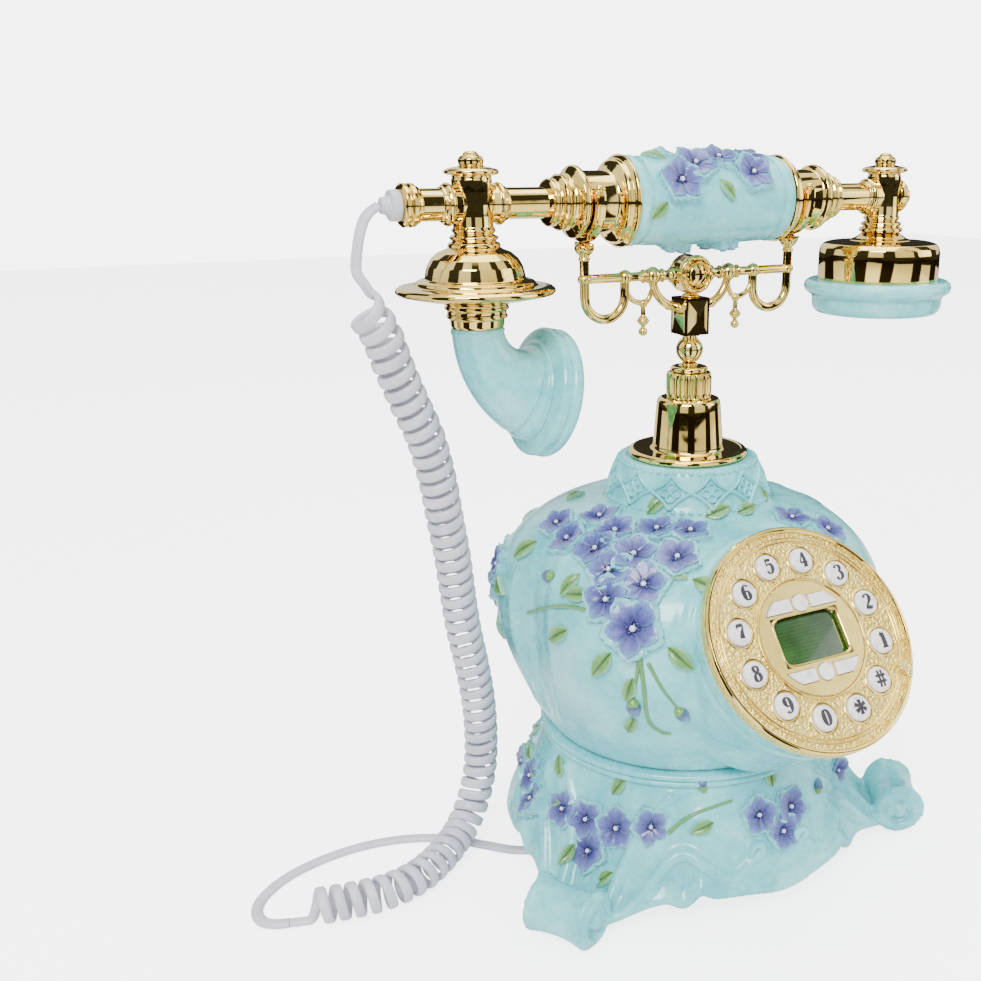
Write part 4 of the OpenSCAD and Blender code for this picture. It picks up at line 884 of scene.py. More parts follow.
def make_base(size):
    """Skirt, scroll feet and ribs fused into one skin; the skirt's edge is rolled, 6 mm wide."""
    n, steps = 360, 40
    az = np.linspace(0, 360, n, endpoint=False)
    s = np.linspace(0, 1, steps)[:, None]
    er, ez = edge_line(az)
    r, z = flank(az, s)
    length = np.hypot(er - SKIRT_R, SKIRT_Z - ez)
    from_edge = (1 - s) * length
    roll = 1.5 * np.exp(-((from_edge - 3.2) / 3.2) ** 4) * smoothstep((length - 20) / 20)
    crown = 1.3 * np.sin(np.pi * s) * (1 - 0.6 * foot_share(az))
    outer = np.stack([r + roll + crown * 0.8, z], -1)
    # under the edge, up the recess for the plate and back up the inside
    under = [(er - 1.2, ez + 0.2), (er - 4.5, ez + 1.2), (57.6, np.maximum(ez, 11.5)), (56.4, 11.8),
             (56.4, 13.2),
             (52.5, 13.4), (52.5, 55), (SKIRT_R, 55)]
    rows = np.concatenate([outer, [np.stack(np.broadcast_arrays(*row, az)[:2], -1) for row in under]])
    pts = around(rows[..., 0], az, rows[..., 1])
    shell = Shell().grid(pts, wrap_rows=True)
    for foot in FEET:
        t = math.radians(foot)
        out, side = np.array([math.cos(t), math.sin(t), 0]), np.array([-math.sin(t), math.cos(t), 0])
        at = out * 94 + Z * 12.1
        half = 12.5
        q = np.linspace(-1, 1, 25)
        prof = np.stack([11.3 * (0.84 + 0.16 * np.abs(q) ** 2.2), half * q], -1)
        prof = np.vstack([[0, -half + 1.6], [4, -half + 1.4], [8.6, -half + 0.2], prof, [8.6, half - 0.2],
                          [4, half - 1.4], [0, half - 1.6]])
        shell.lathe(prof, (at, out, Z, np.cross(out, Z)), 72, cut=0)
        for sgn in (-1, 1):
            sp = np.linspace(0, 1, 60)
            ang = math.radians(100) + sp * 2 * math.pi * 1.35
            rad = 9.8 - 5.2 * sp
            path = at + rad[:, None] * (np.cos(ang)[:, None] * out + np.sin(ang)[:, None] * Z) \
                + sgn * (half - 0.1) * side
            shell.tube(path, 2.0, side, 10, scale=1 - 0.3 * sp)
            shell.ball(at + sgn * (half - 0.2) * side, 3.3, 20)
        # two raised borders run from the roll up the leg and fade on the skirt
        for sgn in (-1, 1):
            u = np.linspace(0, 1, 50)
            spread_ = sgn * (10.6 + 1.5 * np.sin(np.pi * u) + 15 * u ** 2.4)
            azr = foot + np.degrees(spread_ / (88 - 26 * u))
            rr, zz = flank(azr, 0.93 - 0.83 * u)
            path = around(rr + 0.7, azr, zz)
            shell.tube(path, 2.7, Z, 12, scale=1 - 0.5 * u)
        # the tongue down the middle of the leg
        u = np.linspace(0, 1, 40)
        rr, zz = flank(foot, 0.10 + 0.78 * u)
        path = (rr - 0.9)[:, None] * out + zz[:, None] * Z
        lens = np.linspace(0, 2 * math.pi, 16, endpoint=False)
        shell.sweep(path, np.stack([2.2 * np.sin(lens), 6.2 * np.cos(lens)], -1), out,
                    scale=0.25 + 0.75 * np.sin(np.pi * u ** 0.8) ** 0.7)
    # the rolled edge, and on each side of a foot a ridge that rises from it, waves and ends in a volute
    azr = np.arange(0, 360, 1.5)
    er, ez = edge_line(azr)
    shell.tube(around(er - 1.0, azr, ez + 2.0), 2.1, Z, 12, closed=True)
    for foot in FEET:
        for sgn in (-1, 1):
            t = np.linspace(0, 1, 80)
            azr = foot + sgn * (9.5 + 42 * t)
            zz = 7.5 + 21 * smoothstep(t / 0.42) - 8.5 * smoothstep((t - 0.46) / 0.3) \
                + 5 * smoothstep((t - 0.8) / 0.2)
            path = around(flank_at(azr, zz) + 1.1, azr, zz)
            shell.tube(path, 2.5, Z, 12, scale=0.55 + 0.55 * np.sin(math.pi * t ** 0.8))
            out = around(1.0, azr[-1], 0.0)
            way = unit(path[-1] - path[-3])
            rise = unit(np.cross(out, way)) * sgn
            c = np.linspace(0, 1.5 * math.pi, 24)
            curl = path[-1] + 3.6 * (1 - 0.35 * c / c[-1])[:, None] * (np.sin(c)[:, None] * way) \
                + 3.6 * ((1 - np.cos(c)) * (1 - 0.35 * c / c[-1]))[:, None] * rise
            shell.tube(curl, 1.7, out, 10, scale=1 - 0.3 * c / c[-1])
            # a pointed leaf lies between the ridge and the ring
            u = np.linspace(0, 1, 24)
            azl = foot + sgn * (24 + 15 * u)
            zl = 30 + 15 * u ** 0.8
            path = around(flank_at(azl, zl) + 0.2, azl, zl)
            lens = np.linspace(0, 2 * math.pi, 12, endpoint=False)
            outs = unit(path * [1, 1, 0])
            shell.sweep(path, np.stack([1.5 * np.sin(lens), 3.4 * np.cos(lens)], -1), outs,
                        scale=np.sin(math.pi * np.clip(u * 0.96 + 0.02, 0, 1)) ** 0.8)
    body = fused("base_skin", shell, 1.0, 2, [shop("cast_resin_aqua")])
    p = points_of(body)
    p[:, 2] = np.maximum(p[:, 2], 0.4)
    set_points(body, p)
    # painted shade: the hollows of the skirt, feet and ribs are darkened blue-green
    paint_points(body, shade_of(hollows(body, 18) * 1.6))
    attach(body, "base")
    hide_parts("base_casting")
    ring = Shell()
    ring.lathe([(52.6, 57.2), (52.6, 51.4), (58.6, 51.4), (60.2, 51.8), (60.9, 52.8), (60.3, 53.9),
                (59.5, 54.3),
                (60.9, 54.8), (61.3, 55.8), (60.7, 56.9), (58.6, 57.5), (52.8, 57.5)], turned("z", [0, 0, 0]),
               200, cut=0.5)
    for x in (-35, 35):
        for y in (-35, 35):
            ring.lathe([(1.2, 13.2), (3.6, 13.2), (3.6, 36), (1.2, 36)], turned("z", [x, y, 0]), 24)
    piece("ring_moulding", ring, shop("cast_resin_aqua"), "base")
    return body


# ---------------------------------------------------------------- moulded flowers

GROUND = "#7FCDD2"
PETAL, PETAL_DARK, PETAL_EDGE, EYE = "#5B62A8", "#2A2068", "#86BBD6", "#E6E4F0"
LEAF, LEAF_DARK, LEAF_EDGE, STEM = "#6B9E4A", "#2F6230", "#8CCFB4", "#5E9A55"


def petal(shell, size, seat, turn, lean, curl, plain=False):
    """One cupped petal: u runs from the eye to the tip, b round the petal. Half width is
    0.62 sin(pi u^0.8)^0.75 of the radius, height a low bowl that turns up near the tip with a crease
    down the middle, and the underside runs down into the casting. A plain
    petal is coarser and keeps the casting's own colour."""
    u = np.linspace(0.0, 1, 9 if plain else 13)[:, None]
    b = np.linspace(0, 2 * math.pi, 12 if plain else 18, endpoint=False)[None]
    half = 0.40 * np.sin(math.pi * u ** 1.25) ** 0.62 + 0.05 * u * (1 - u)
    across = np.cos(b)
    x = 0.08 + 0.92 * u - 0.06 * across ** 2 * u + 0.03 * np.cos(3 * math.pi * across) * u ** 3
    top = 0.10 + 0.17 * np.sin(math.pi * np.clip(u, 0, 1) * 0.72) + curl * 0.6 * u ** 3
    top = top + 0.07 * across ** 2 * u + 0.012 * np.cos(across * 11) * np.sin(math.pi * u) + lean * across
    top = top - 0.05 * np.exp(-(across / 0.16) ** 2) * np.sin(math.pi * u)
    face = np.clip(np.sin(b), 0, 1) ** 0.35
    deep = np.clip(-np.sin(b), 0, 1) ** 0.5
    edge = (top - 0.13) * 1.0
    z = edge + 0.11 * face - 0.42 * deep
    y = half * across
    ct, st = math.cos(turn), math.sin(turn)
    pts = np.stack([(x * ct - y * st), (x * st + y * ct), z + 0 * x], -1) * size
    tone = np.clip(u + 0 * b, 0, 1)[..., None]
    inner, middle, outer = (np.array(linear(c)) for c in (PETAL_DARK, PETAL, PETAL_EDGE))
    colour = np.where(tone < 0.55, inner + (middle - inner) * (tone / 0.55) ** 1.3,
                      middle + (outer - middle) * 0.5 * smoothstep((tone - 0.55) / 0.45))
    veins = (0.5 + 0.5 * np.cos(across * 14))[..., None] * (1 - tone) ** 1.2
    colour = colour * (1 - 0.55 * veins) + inner * 0.55 * veins
    rim = np.maximum(np.abs(across)[..., None] ** 8 * 0.55,
                     smoothstep((tone - 0.9) / 0.1) * 0.45) * (tone > 0.15)
    colour = colour * (1 - rim) + outer * rim
    shell.grid(place(pts, *seat), paint=linear(GROUND) if plain else colour)


def flower(shell, seat, radius, turn, rng):
    """Five painted petals on a wider unpainted layer, round a pearl eye with a ring of small beads."""
    low = (seat[0] - seat[3] * 0.11 * radius, *seat[1:])
    for k in range(5):
        petal(shell, radius * 1.17, low, turn + 2 * math.pi * k / 5, 0, 0.04, True)
        petal(shell, radius * 0.98, low, turn + 2 * math.pi * (k + 0.5) / 5, 0, 0.0, True)
        petal(shell, radius * rng.uniform(0.93, 1.04), seat,
              turn + 2 * math.pi * k / 5 + rng.uniform(-0.09, 0.09),
              0.05 if k % 2 else -0.05, rng.uniform(0.02, 0.12))
    o, u, v, n = seat
    shell.ball(o + n * radius * 0.17, radius * 0.11, 18, squash=0.85, paint=linear(EYE), axis=(u, v, n))
    for k in range(6):
        t = turn + math.pi * k / 3
        shell.ball(o + n * radius * 0.13 + (u * math.cos(t) + v * math.sin(t)) * radius * 0.2, radius * 0.055,
                   8,
                   paint=linear(PETAL_DARK), axis=(u, v, n))


def leaf(shell, seat, length, turn, fold=0.5):
    """A pointed leaf: half width 0.27 sin(pi u^0.9) of the length with toothed edges, a deep middle vein
    and side veins, rising and then bending down to its tip."""
    u = np.linspace(0, 1, 21)[:, None]
    b = np.linspace(0, 2 * math.pi, 20, endpoint=False)[None]
    across = np.cos(b)
    half = 0.27 * np.sin(math.pi * u ** 0.85) ** 0.85 * (1 + 0.05 * np.cos(u * 34) * np.abs(across))
    x = u + 0.04 * across ** 2
    top = 0.05 + 0.11 * np.sin(math.pi * u) + 0.07 * across ** 2 * fold * np.sin(math.pi * u)
    top = top - 0.055 * np.exp(-(across / 0.13) ** 2) * np.sin(math.pi * u ** 0.7)
    top = top + 0.012 * np.cos((u * 9 - np.abs(across) * 1.6) * 2 * math.pi) * np.sin(math.pi * u)
    z = top - 0.05 + 0.05 * np.clip(np.sin(b), 0, 1) ** 0.35 - 0.25 * np.clip(-np.sin(b), 0, 1) ** 0.5
    y = half * across
    ct, st = math.cos(turn), math.sin(turn)
    pts = np.stack([x * ct - y * st, x * st + y * ct, z + 0 * x], -1) * length
    vein = np.exp(-(across / 0.16) ** 2)[..., None] * np.ones_like(u)[..., None]
    dark, mid, pale = (np.array(linear(c)) for c in (LEAF_DARK, LEAF, LEAF_EDGE))
    rim = (np.abs(across) ** 5)[..., None] * 0.8 * np.ones_like(u)[..., None]
    colour = (mid * (1 - vein) + dark * vein) * (1 - rim) + pale * rim
    shell.grid(place(pts, *seat), paint=colour)


def bud(shell, seat, length, turn):
    """A closed bud: a pointed egg of overlapped petals in a green cup."""
    o, u, v, n = seat
    along = u * math.cos(turn) + v * math.sin(turn)
    side = np.cross(n, along)
    t = np.linspace(0, 1, 16)
    prof = np.stack([0.30 * np.sin(math.pi * t ** 0.75) * length, t * length], -1)
    base = o + n * 0.10 * length
    paint_ = np.array(linear(PETAL_DARK)) + (np.array(linear(PETAL_EDGE)) - np.array(linear(PETAL_DARK))) \
        * np.repeat(t[:, None, None], 18, 1) ** 1.3
    shell.lathe(prof, (base, side, n, along), 18, cut=0, paint=paint_)
    cup = np.stack([0.26 * np.sin(math.pi * np.clip(t * 0.62 + 0.05, 0, 1)) * length,
                    (t * 0.42 - 0.06) * length], -1)
    cup[0, 0] = cup[-1, 0] = 0
    shell.lathe(cup, (base, side, n, along), 16, cut=0, paint=linear(LEAF))


class Ground:
    """The surface that relief stands on, found by rays."""

    def __init__(self, *objs):
        self.tree = tree_of(*objs)

    def seat(self, origin, way, sink=0.0):
        """Frame on the surface where a ray meets it: v leans towards +Z, n is the normal."""
        hit, normal, _, _ = self.tree.ray_cast(Vector(origin), Vector(way))
        if hit is None:
            return None
        n = np.array(normal)
        if n @ np.array(way) > 0:
            n = -n
        v = Z - n * n[2]
        v = unit(v) if np.linalg.norm(v) > 0.2 else unit(Y - n * n[1])
        u = np.cross(v, n)
        return np.array(hit) / MM - AXIS - n * sink, u, v, n

    def at_pixel(self, px, py, sink=0.0):
        """Seat under a point of the camera's view."""
        return self.seat(CAM_AT, pixel_ray(px, py), sink)

    def at(self, azimuth, z, sink=0.0):
        """Seat at an azimuth and height, coming from outside towards the pillar."""
        a = math.radians(azimuth)
        out = np.array([math.cos(a), math.sin(a), 0])
        return self.seat((out * 200 + Z * z + AXIS) * MM, -out, sink)


def stem(shell, ground, marks, r=0.85, pixels=True):
    """A stem along the surface through marks, half sunk, thinning to its end."""
    seats = [ground.at_pixel(*m) if pixels else ground.at(*m) for m in marks]
    seats = [s for s in seats if s is not None]
    if len(seats) < 2:
        return
    path = catmull([s[0] + s[3] * 0.25 for s in seats], 8)
    normal = unit(catmull([s[3] for s in seats], 8))
    a = np.linspace(0, 2 * math.pi, 10, endpoint=False)
    shell.sweep(path, np.stack([r * np.cos(a), r * np.sin(a)], -1), normal,
                scale=np.linspace(1.1, 0.6, len(path)), paint=linear(STEM))


def spray(shell, ground, items, pixels, rng):
    """Flowers, leaves and buds from rows of (kind, place, place, size in mm, turn in degrees)."""
    for kind, p, q, length, turn in items:
        seat = ground.at_pixel(p, q, 0.2) if pixels else ground.at(p, q, 0.2)
        if seat is None:
            continue
        if kind == "f":
            flower(shell, seat, length, math.radians(turn), rng)
        elif kind == "l":
            leaf(shell, seat, length, math.radians(turn))
        else:
            bud(shell, seat, length, math.radians(turn))


def crop(items, scale, x0, y0):
    """Rows in an enlargement's pixels turned to the view's own."""
    return [(k, x / scale + x0, y / scale + y0, s, t) for k, x, y, s, t in items]


BELLY_FRONT = crop([
    ("l", 375, 150, 11, 200), ("l", 205, 325, 12, 230), ("l", 360, 440, 11, 250), ("l", 315, 640, 12, 215),
    ("l", 595, 232, 11, 60), ("l", 800, 240, 11, 20), ("l", 755, 460, 12, 330), ("l", 668, 700, 12, 320),
    ("l", 470, 720, 12, 235), ("l", 915, 225, 10, 10), ("l", 1020, 190, 10, 60), ("l", 395, 520, 11, 190),
    ("l", 640, 420, 11, 340), ("l", 1170, 330, 9, 250), ("l", 545, 810, 10, 255),
    ("f", 275, 262, 7.5, 10), ("f", 350, 120, 7, 50), ("f", 280, 110, 6.5, 30), ("f", 427, 240, 8.2, 60),
    ("f", 315, 318, 8.4, 40), ("f", 482, 292, 8.6, 0), ("f", 550, 375, 9, 20), ("f", 413, 355, 8.6, 70),
    ("f", 462, 430, 8.8, 45), ("f", 630, 285, 8.4, 30), ("f", 750, 292, 8.4, 5), ("f", 703, 385, 8.8, 50),
    ("f", 585, 482, 9.2, 15), ("f", 452, 535, 9.0, 30), ("f", 548, 637, 11, 55),
    ("f", 1110, 245, 7.6, 20), ("f", 1235, 285, 8, 45), ("f", 1340, 290, 7.4, 10),
    ("b", 80, 310, 8, 240), ("b", 545, 885, 9, 275), ("b", 700, 920, 8, 310), ("b", 265, 450, 8, 200),
    ("l", 550, 950, 9, 250)], 3.5636, 480, 450)
BASE_FRONT = crop([
    ("l", 460, 330, 10, 60), ("l", 465, 600, 11, 250), ("l", 285, 275, 10, 130), ("l", 815, 425, 10, 200),
    ("l", 1018, 305, 10, 90), ("l", 190, 120, 9, 60), ("l", 330, 500, 10, 215),
    ("f", 290, 378, 7.6, 10), ("f", 370, 415, 8, 50), ("f", 476, 447, 8.4, 25), ("f", 380, 527, 8.4, 0),
    ("f", 595, 440, 7.4, 40), ("f", 970, 400, 7.8, 15), ("f", 1080, 370, 7.8, 55), ("f", 1053, 455, 7.8, 30),
    ("f", 1243, 243, 6.6, 20), ("f", 150, 210, 6.6, 40),
    ("b", 190, 270, 8, 100), ("b", 780, 320, 8, 100), ("b", 1175, 325, 7, 60)], 3.484, 480, 700)
GRIP_FRONT = crop([
    ("l", 585, 460, 9, 220), ("l", 965, 290, 9, 300), ("l", 570, 140, 9, 150), ("l", 1050, 120, 8, 60),
    ("f", 680, 300, 8.4, 20), ("f", 785, 178, 8, 50), ("f", 958, 135, 7.4, 5), ("f", 1215, 245, 8, 30),
    ("f", 1190, 130, 6.4, 60)], 7.467, 590, 140)
# on the sides that face away: azimuth in degrees and height
BELLY_BACK = [
    ("l", 22, 126, 12, 60), ("l", 38, 96, 12, 250), ("l", 12, 112, 11, 200), ("l", 50, 118, 12, 20),
    ("f", 28, 116, 9, 10), ("f", 36, 108, 9, 40), ("f", 24, 104, 8.6, 60), ("f", 44, 120, 8.4, 20),
    ("f", 16, 122, 8, 35), ("f", 32, 94, 8, 0), ("b", 26, 88, 9, 265),
    ("l", 128, 126, 12, 120), ("l", 146, 98, 12, 290), ("l", 120, 110, 11, 200), ("l", 154, 118, 12, 340),
    ("f", 134, 117, 9, 15), ("f", 143, 110, 9, 45), ("f", 130, 104, 8.6, 5), ("f", 150, 121, 8.4, 60),
    ("f", 124, 121, 8, 30), ("f", 138, 96, 8, 50), ("b", 132, 87, 9, 280),
    ("f", 84, 128, 8, 10), ("f", 92, 120, 9, 40), ("f", 98, 130, 8, 60), ("l", 76, 122, 11, 190),
    ("l", 104, 120, 11, 340), ("l", 90, 108, 11, 265)]
BASE_BACK = [
    ("f", 12, 34, 7.6, 10), ("f", 20, 29, 7.8, 40), ("f", 4, 28, 7.4, 20), ("l", 28, 36, 10, 30),
    ("l", -4, 35, 9, 160),
    ("b", 12, 44, 7, 90), ("f", 52, 33, 7.6, 10), ("f", 60, 29, 7.8, 40), ("f", 66, 36, 7.4, 20),
    ("l", 44, 34, 10, 180), ("l", 73, 31, 9, 10), ("f", 118, 33, 7.6, 10), ("f", 126, 29, 7.8, 40),
    ("f", 132, 36, 7.4, 20), ("l", 110, 34, 10, 180), ("l", 139, 31, 9, 10), ("f", 168, 34, 7.6, 30),
    ("f", 176, 29, 7.8, 0), ("l", 160, 36, 10, 160), ("l", 184, 33, 9, 20)]
GRIP_BACK = [("f", -14, 128, 7.8, 10), ("f", 2, 142, 8, 40), ("f", 18, 126, 7.6, 60), ("l", -26, 134, 9, 160),
             ("l", 28, 136, 9, 20), ("f", -8, 250, 7.6, 30), ("f", 10, 262, 7.8, 5), ("l", 22, 252, 9, 0)]


def make_flowers(size):
    """Flowers for the belly, the skirt and the grip, each a piece of its own."""
    rng = np.random.default_rng(7)
    scale = size.flower_size / 0.0085

    def sized(items):
        return [(k, p, q, s * scale, t) for k, p, q, s, t in items]

    paint = shop("painted_relief")
    belly, base = bpy.data.objects["belly_skin"], bpy.data.objects["base_skin"]
    ground = Ground(belly)
    shell = Shell()
    spray(shell, ground, sized(BELLY_FRONT), True, rng)
    spray(shell, ground, sized(BELLY_BACK), False, rng)
    px = lambda *m: [(x / 3.5636 + 480, y / 3.5636 + 450) for x, y in m]
    stem(shell, ground, px((570, 730), (560, 800), (548, 870)))
    stem(shell, ground, px((570, 730), (585, 850), (600, 960), (640, 1000), (680, 1010)))
    stem(shell, ground, px((410, 580), (330, 560), (250, 560), (170, 580)))
    stem(shell, ground, px((600, 760), (650, 850), (700, 915)), 0.7)
    for a in (26, 132):
        stem(shell, ground, [(a + 4, 100), (a + 1, 90), (a - 2, 80), (a + 5, 70)], pixels=False)
    piece("belly_flowers", shell, paint, "base")
    ground = Ground(base)
    shell = Shell()
    spray(shell, ground, sized(BASE_FRONT), True, rng)
    spray(shell, ground, sized(BASE_BACK), False, rng)
    px = lambda *m: [(x / 3.484 + 480, y / 3.484 + 700) for x, y in m]
    stem(shell, ground, px((655, 465), (700, 425), (745, 400), (820, 370), (880, 350)))
    piece("base_flowers", shell, paint, "base")
    grip = bpy.data.objects["grip_barrel"]
    ground = Ground(grip)
    shell = Shell()
    spray(shell, ground, sized(GRIP_FRONT), True, rng)
    for kind, x, turn_, length, turn in GRIP_BACK:
        a = math.radians(turn_)
        out = np.array([0, -math.cos(a), math.sin(a)])
        seat = ground.seat((HANDSET + X * x + out * 60 + AXIS) * MM, -out, 0.2)
        if seat is not None:
            (flower(shell, seat, length * scale, math.radians(turn), rng) if kind == "f"
             else leaf(shell, seat, length * scale, math.radians(turn)))
    piece("grip_flowers", shell, paint, "handset")


# ---------------------------------------------------------------- dial and keys

KEY_NODES = ["key_%s" % k for k in "123456789"] + ["key_0", "key_star", "key_hash"]
FUNCTION_NODES = ("redial_key", "set_key", "handsfree_key", "up_key", "out_key", "down_key")
DIAL = (DIAL_O, DIAL_U, DIAL_V, DIAL_N)
KEY_RING = 29.2      # radius of the circle of number keys

# Strokes of bold serif figures in a box one high: (x, y, half width) along the middle of each stroke
FIGURES = {
    "1": [[(-.17, .30, .03), (-.06, .42, .05), (.03, .49, .07)], [(.03, .48, .115), (.03, -.42, .115)],
          [(-.19, -.465, .035), (.25, -.465, .035)]],
    "2": [[(-.21, .27, .085), (-.19, .40, .05), (-.03, .475, .03), (.15, .40, .07), (.19, .22, .10),
           (.08, .00, .075), (-.10, -.20, .045), (-.24, -.41, .035)],
          [(-.25, -.41, .06), (-.05, -.39, .085), (.16, -.43, .07), (.25, -.30, .025)]],
    "3": [[(-.20, .30, .08), (-.15, .43, .04), (.00, .475, .03), (.16, .38, .08), (.16, .20, .08),
           (.02, .05, .03)],
          [(-.06, .04, .025), (.08, .02, .045), (.20, -.10, .09), (.20, -.32, .09), (.02, -.475, .03),
           (-.16, -.42, .045), (-.20, -.28, .08)]],
    "4": [[(.09, .46, .06), (.09, -.42, .105)], [(.07, .47, .04), (-.27, -.18, .03)],
          [(-.29, -.20, .04), (.28, -.20, .04)], [(-.08, -.465, .035), (.26, -.465, .035)]],
    "5": [[(-.17, .41, .07), (.20, .41, .07)], [(-.17, .44, .03), (-.19, .04, .03)],
          [(-.19, .03, .03), (-.03, .12, .04), (.15, .06, .08), (.20, -.16, .10), (.10, -.39, .07),
           (-.04, -.47, .03),
           (-.16, -.42, .045), (-.20, -.29, .08)]],
    "6": [[(.18, .34, .07), (.10, .45, .04), (-.02, .47, .03), (-.16, .30, .075), (-.20, .00, .105),
           (-.15, -.33, .08), (.00, -.475, .03), (.16, -.37, .08), (.20, -.18, .10), (.13, .02, .06),
           (.00, .08, .03),
           (-.13, .00, .03)]],
    "7": [[(-.22, .42, .075), (.20, .42, .075)], [(-.22, .44, .03), (-.25, .24, .03)],
          [(.22, .42, .03), (.10, .15, .05), (-.01, -.12, .09), (-.05, -.40, .12)]],
    "8": [[(.00, .47, .03), (-.15, .36, .07), (-.14, .18, .07), (.02, .04, .05), (.17, -.12, .09),
           (.18, -.34, .08),
           (.00, -.475, .03), (-.18, -.36, .075), (-.18, -.14, .07), (-.02, .04, .04), (.14, .18, .065),
           (.14, .36, .06), (.00, .47, .03)]],
    "0": [[(.00, .475, .03), (-.15, .34, .08), (-.20, .00, .105), (-.15, -.34, .08), (.00, -.475, .03),
           (.15, -.34, .08), (.20, .00, .105), (.15, .34, .08), (.00, .475, .03)]],
    "star": [[(.00, .02, .02), (.0, .17, .05), (.0, .34, .07)],
             [(.0, .02, .02), (.13, .10, .05), (.27, .17, .07)],
             [(.0, .02, .02), (.13, -.07, .05), (.27, -.15, .07)],
             [(.0, .02, .02), (.0, -.14, .05), (.0, -.31, .07)],
             [(.0, .02, .02), (-.13, -.07, .05), (-.27, -.15, .07)],
             [(.0, .02, .02), (-.13, .10, .05), (-.27, .17, .07)]],
    "hash": [[(-.10, -.36, .04), (-.06, .38, .04)], [(.08, -.36, .04), (.12, .38, .04)],
             [(-.25, .14, .04), (.27, .14, .04)], [(-.27, -.12, .04), (.25, -.12, .04)]],
}
FIGURES["9"] = [[(-x, -y, w) for x, y, w in FIGURES["6"][0]]]


def key_top(r, radius):
    """Height of a key's domed top over its rim at a distance from its middle."""
    return 0.75 * (1 - (np.clip(r / radius, 0, 1)) ** 2.4)


def figure(shell, name, centre, height, radius, base, mat):
    """Strokes laid over the dome: each is carried along its middle line, its half width to both sides, 0.06
    above the dome and sunk at its edges."""
    for stroke in FIGURES[name]:
        s = np.asarray(stroke, float)
        if len(s) == 2:
            t = np.linspace(0, 1, 5)[:, None]
            line = s[:1] * (1 - t) + s[1:] * t
        else:
            line = catmull(s, 7)
        line = line * height * (1.45 if name in ("star", "hash") else 1)
        t = unit(np.gradient(line[:, :2], axis=0))
        n = np.stack([-t[:, 1], t[:, 0]], -1)
        across = np.array([-1, -0.96, 0, 0.96, 1, 0.5, -0.5])[None, :, None]
        flat = line[:, None, :2] + across * line[:, None, 2:] * 1.55 * n[:, None]
        lift = np.array([-0.15, 0.05, 0.07, 0.05, -0.15, -0.2, -0.2])[None, :]
        h = base + key_top(np.hypot(flat[..., 0], flat[..., 1]), radius) + lift
        pts = np.concatenate([flat, h[..., None]], -1)
        pts[..., 0] += centre[0]
        pts[..., 1] += centre[1]
        ends = np.concatenate([pts[:1].mean(1, keepdims=True).repeat(7, 1), pts,
                               pts[-1:].mean(1, keepdims=True).repeat(7, 1)])
        shell.grid(place(ends, *DIAL), mat)


def make_keys(size):
    """Twelve domed acrylic caps with their figures; each replaces its own solid and moves with it."""
    radius, rise = 4.7, 1.2
    for i, name in enumerate(KEY_NODES):
        a = math.radians(-15 + 30 * i)
        centre = KEY_RING * np.array([math.cos(a), math.sin(a)])
        at = DIAL_O + centre[0] * DIAL_U + centre[1] * DIAL_V
        t = np.linspace(1, 0, 14)
        dome = np.stack([(radius - 0.55) * t, rise + key_top((radius - 0.55) * t, radius - 0.4)], -1)
        prof = np.vstack([[(0, -7.2), (2, -7.2), (2, -5.0), (5.8, -4.9), (5.8, -4.1), (radius, -4.1),
                           (radius, rise - 0.75), (radius - 0.12, rise - 0.3)], dome])
        shell = Shell().lathe(prof, (at, DIAL_U, DIAL_V, DIAL_N), 64, 0, 0.15)
        figure(shell, name.split("_")[1], centre, size.figure_height / MM, radius - 0.4, rise, 1)
        piece(name + "_cap", shell, [shop("pearl_acrylic"), shop("digit_ink")], name, [name])


def make_dial(size):
    """Stippled dial plate and centre from the solids, with the turned beads and lines that frame the keys,
    and small dots between them."""
    for name, mat in (("dial_plate", "dial_gold_stippled"), ("dial_centre", "dial_gold_satin"),
                      ("lcd_window", "display_glass"), ("keypad_board", "solder_mask_board")):
        dress(name, mat)
    for name in FUNCTION_NODES:
        dress(name, "pearl_acrylic")
    shell = Shell()

    def ring(r, half, low=-0.4, high=0.5):
        """A bead round the dial at a radius."""
        shell.lathe([(r - half, low), (r - half * 0.9, high * 0.5), (r - half * 0.4, high),
                     (r + half * 0.4, high),
                     (r + half * 0.9, high * 0.5), (r + half, low)], DIAL, 144, cut=0.12)

    ring(36.6, 0.5, -0.4, 0.45)
    ring(38.0, 0.28, -0.4, 0.3)
    ring(22.1, 0.6, -0.4, 0.75)
    ring(41.2, 1.1, -1.0, 1.5)
    for i in range(12):
        a = math.radians(30 * i)
        c = DIAL_O + KEY_RING * (math.cos(a) * DIAL_U + math.sin(a) * DIAL_V)
        if i != 11:
            shell.ball(c - DIAL_N * 0.1, 0.75, 14, squash=0.8, axis=(DIAL_U, DIAL_V, DIAL_N))
        k = math.radians(30 * i - 15)
        eye = DIAL_O + KEY_RING * (math.cos(k) * DIAL_U + math.sin(k) * DIAL_V)
        shell.lathe([(5.12, -0.5), (5.12, 0.28), (5.7, 0.34), (6.0, 0.1), (6.05, -0.5)],
                    (eye, DIAL_U, DIAL_V, DIAL_N), 48, cut=0.1)
    piece("dial_beads", shell, shop("gold_plated_brass"), "base")
    shell = Shell()
    w, h = 29.8, 18.3
    t = np.linspace(0, 2 * math.pi, 96, endpoint=False)
    c, s = np.cos(t), np.sin(t)
    frame_ = np.stack([np.sign(c) * np.abs(c) ** 0.28 * (w / 2 - 0.3),
                       np.sign(s) * np.abs(s) ** 0.28 * (h / 2 - 0.3)
                       + 0.3, np.full_like(t, 0.25)], -1)
    a = np.linspace(0, 2 * math.pi, 10, endpoint=False)
    path = place(frame_, *DIAL)
    shell.sweep(path, np.stack([0.42 * np.cos(a), 0.55 * np.sin(a)], -1), DIAL_N, closed=True)
    piece("display_bezel", shell, shop("gold_plated_brass"), "base")


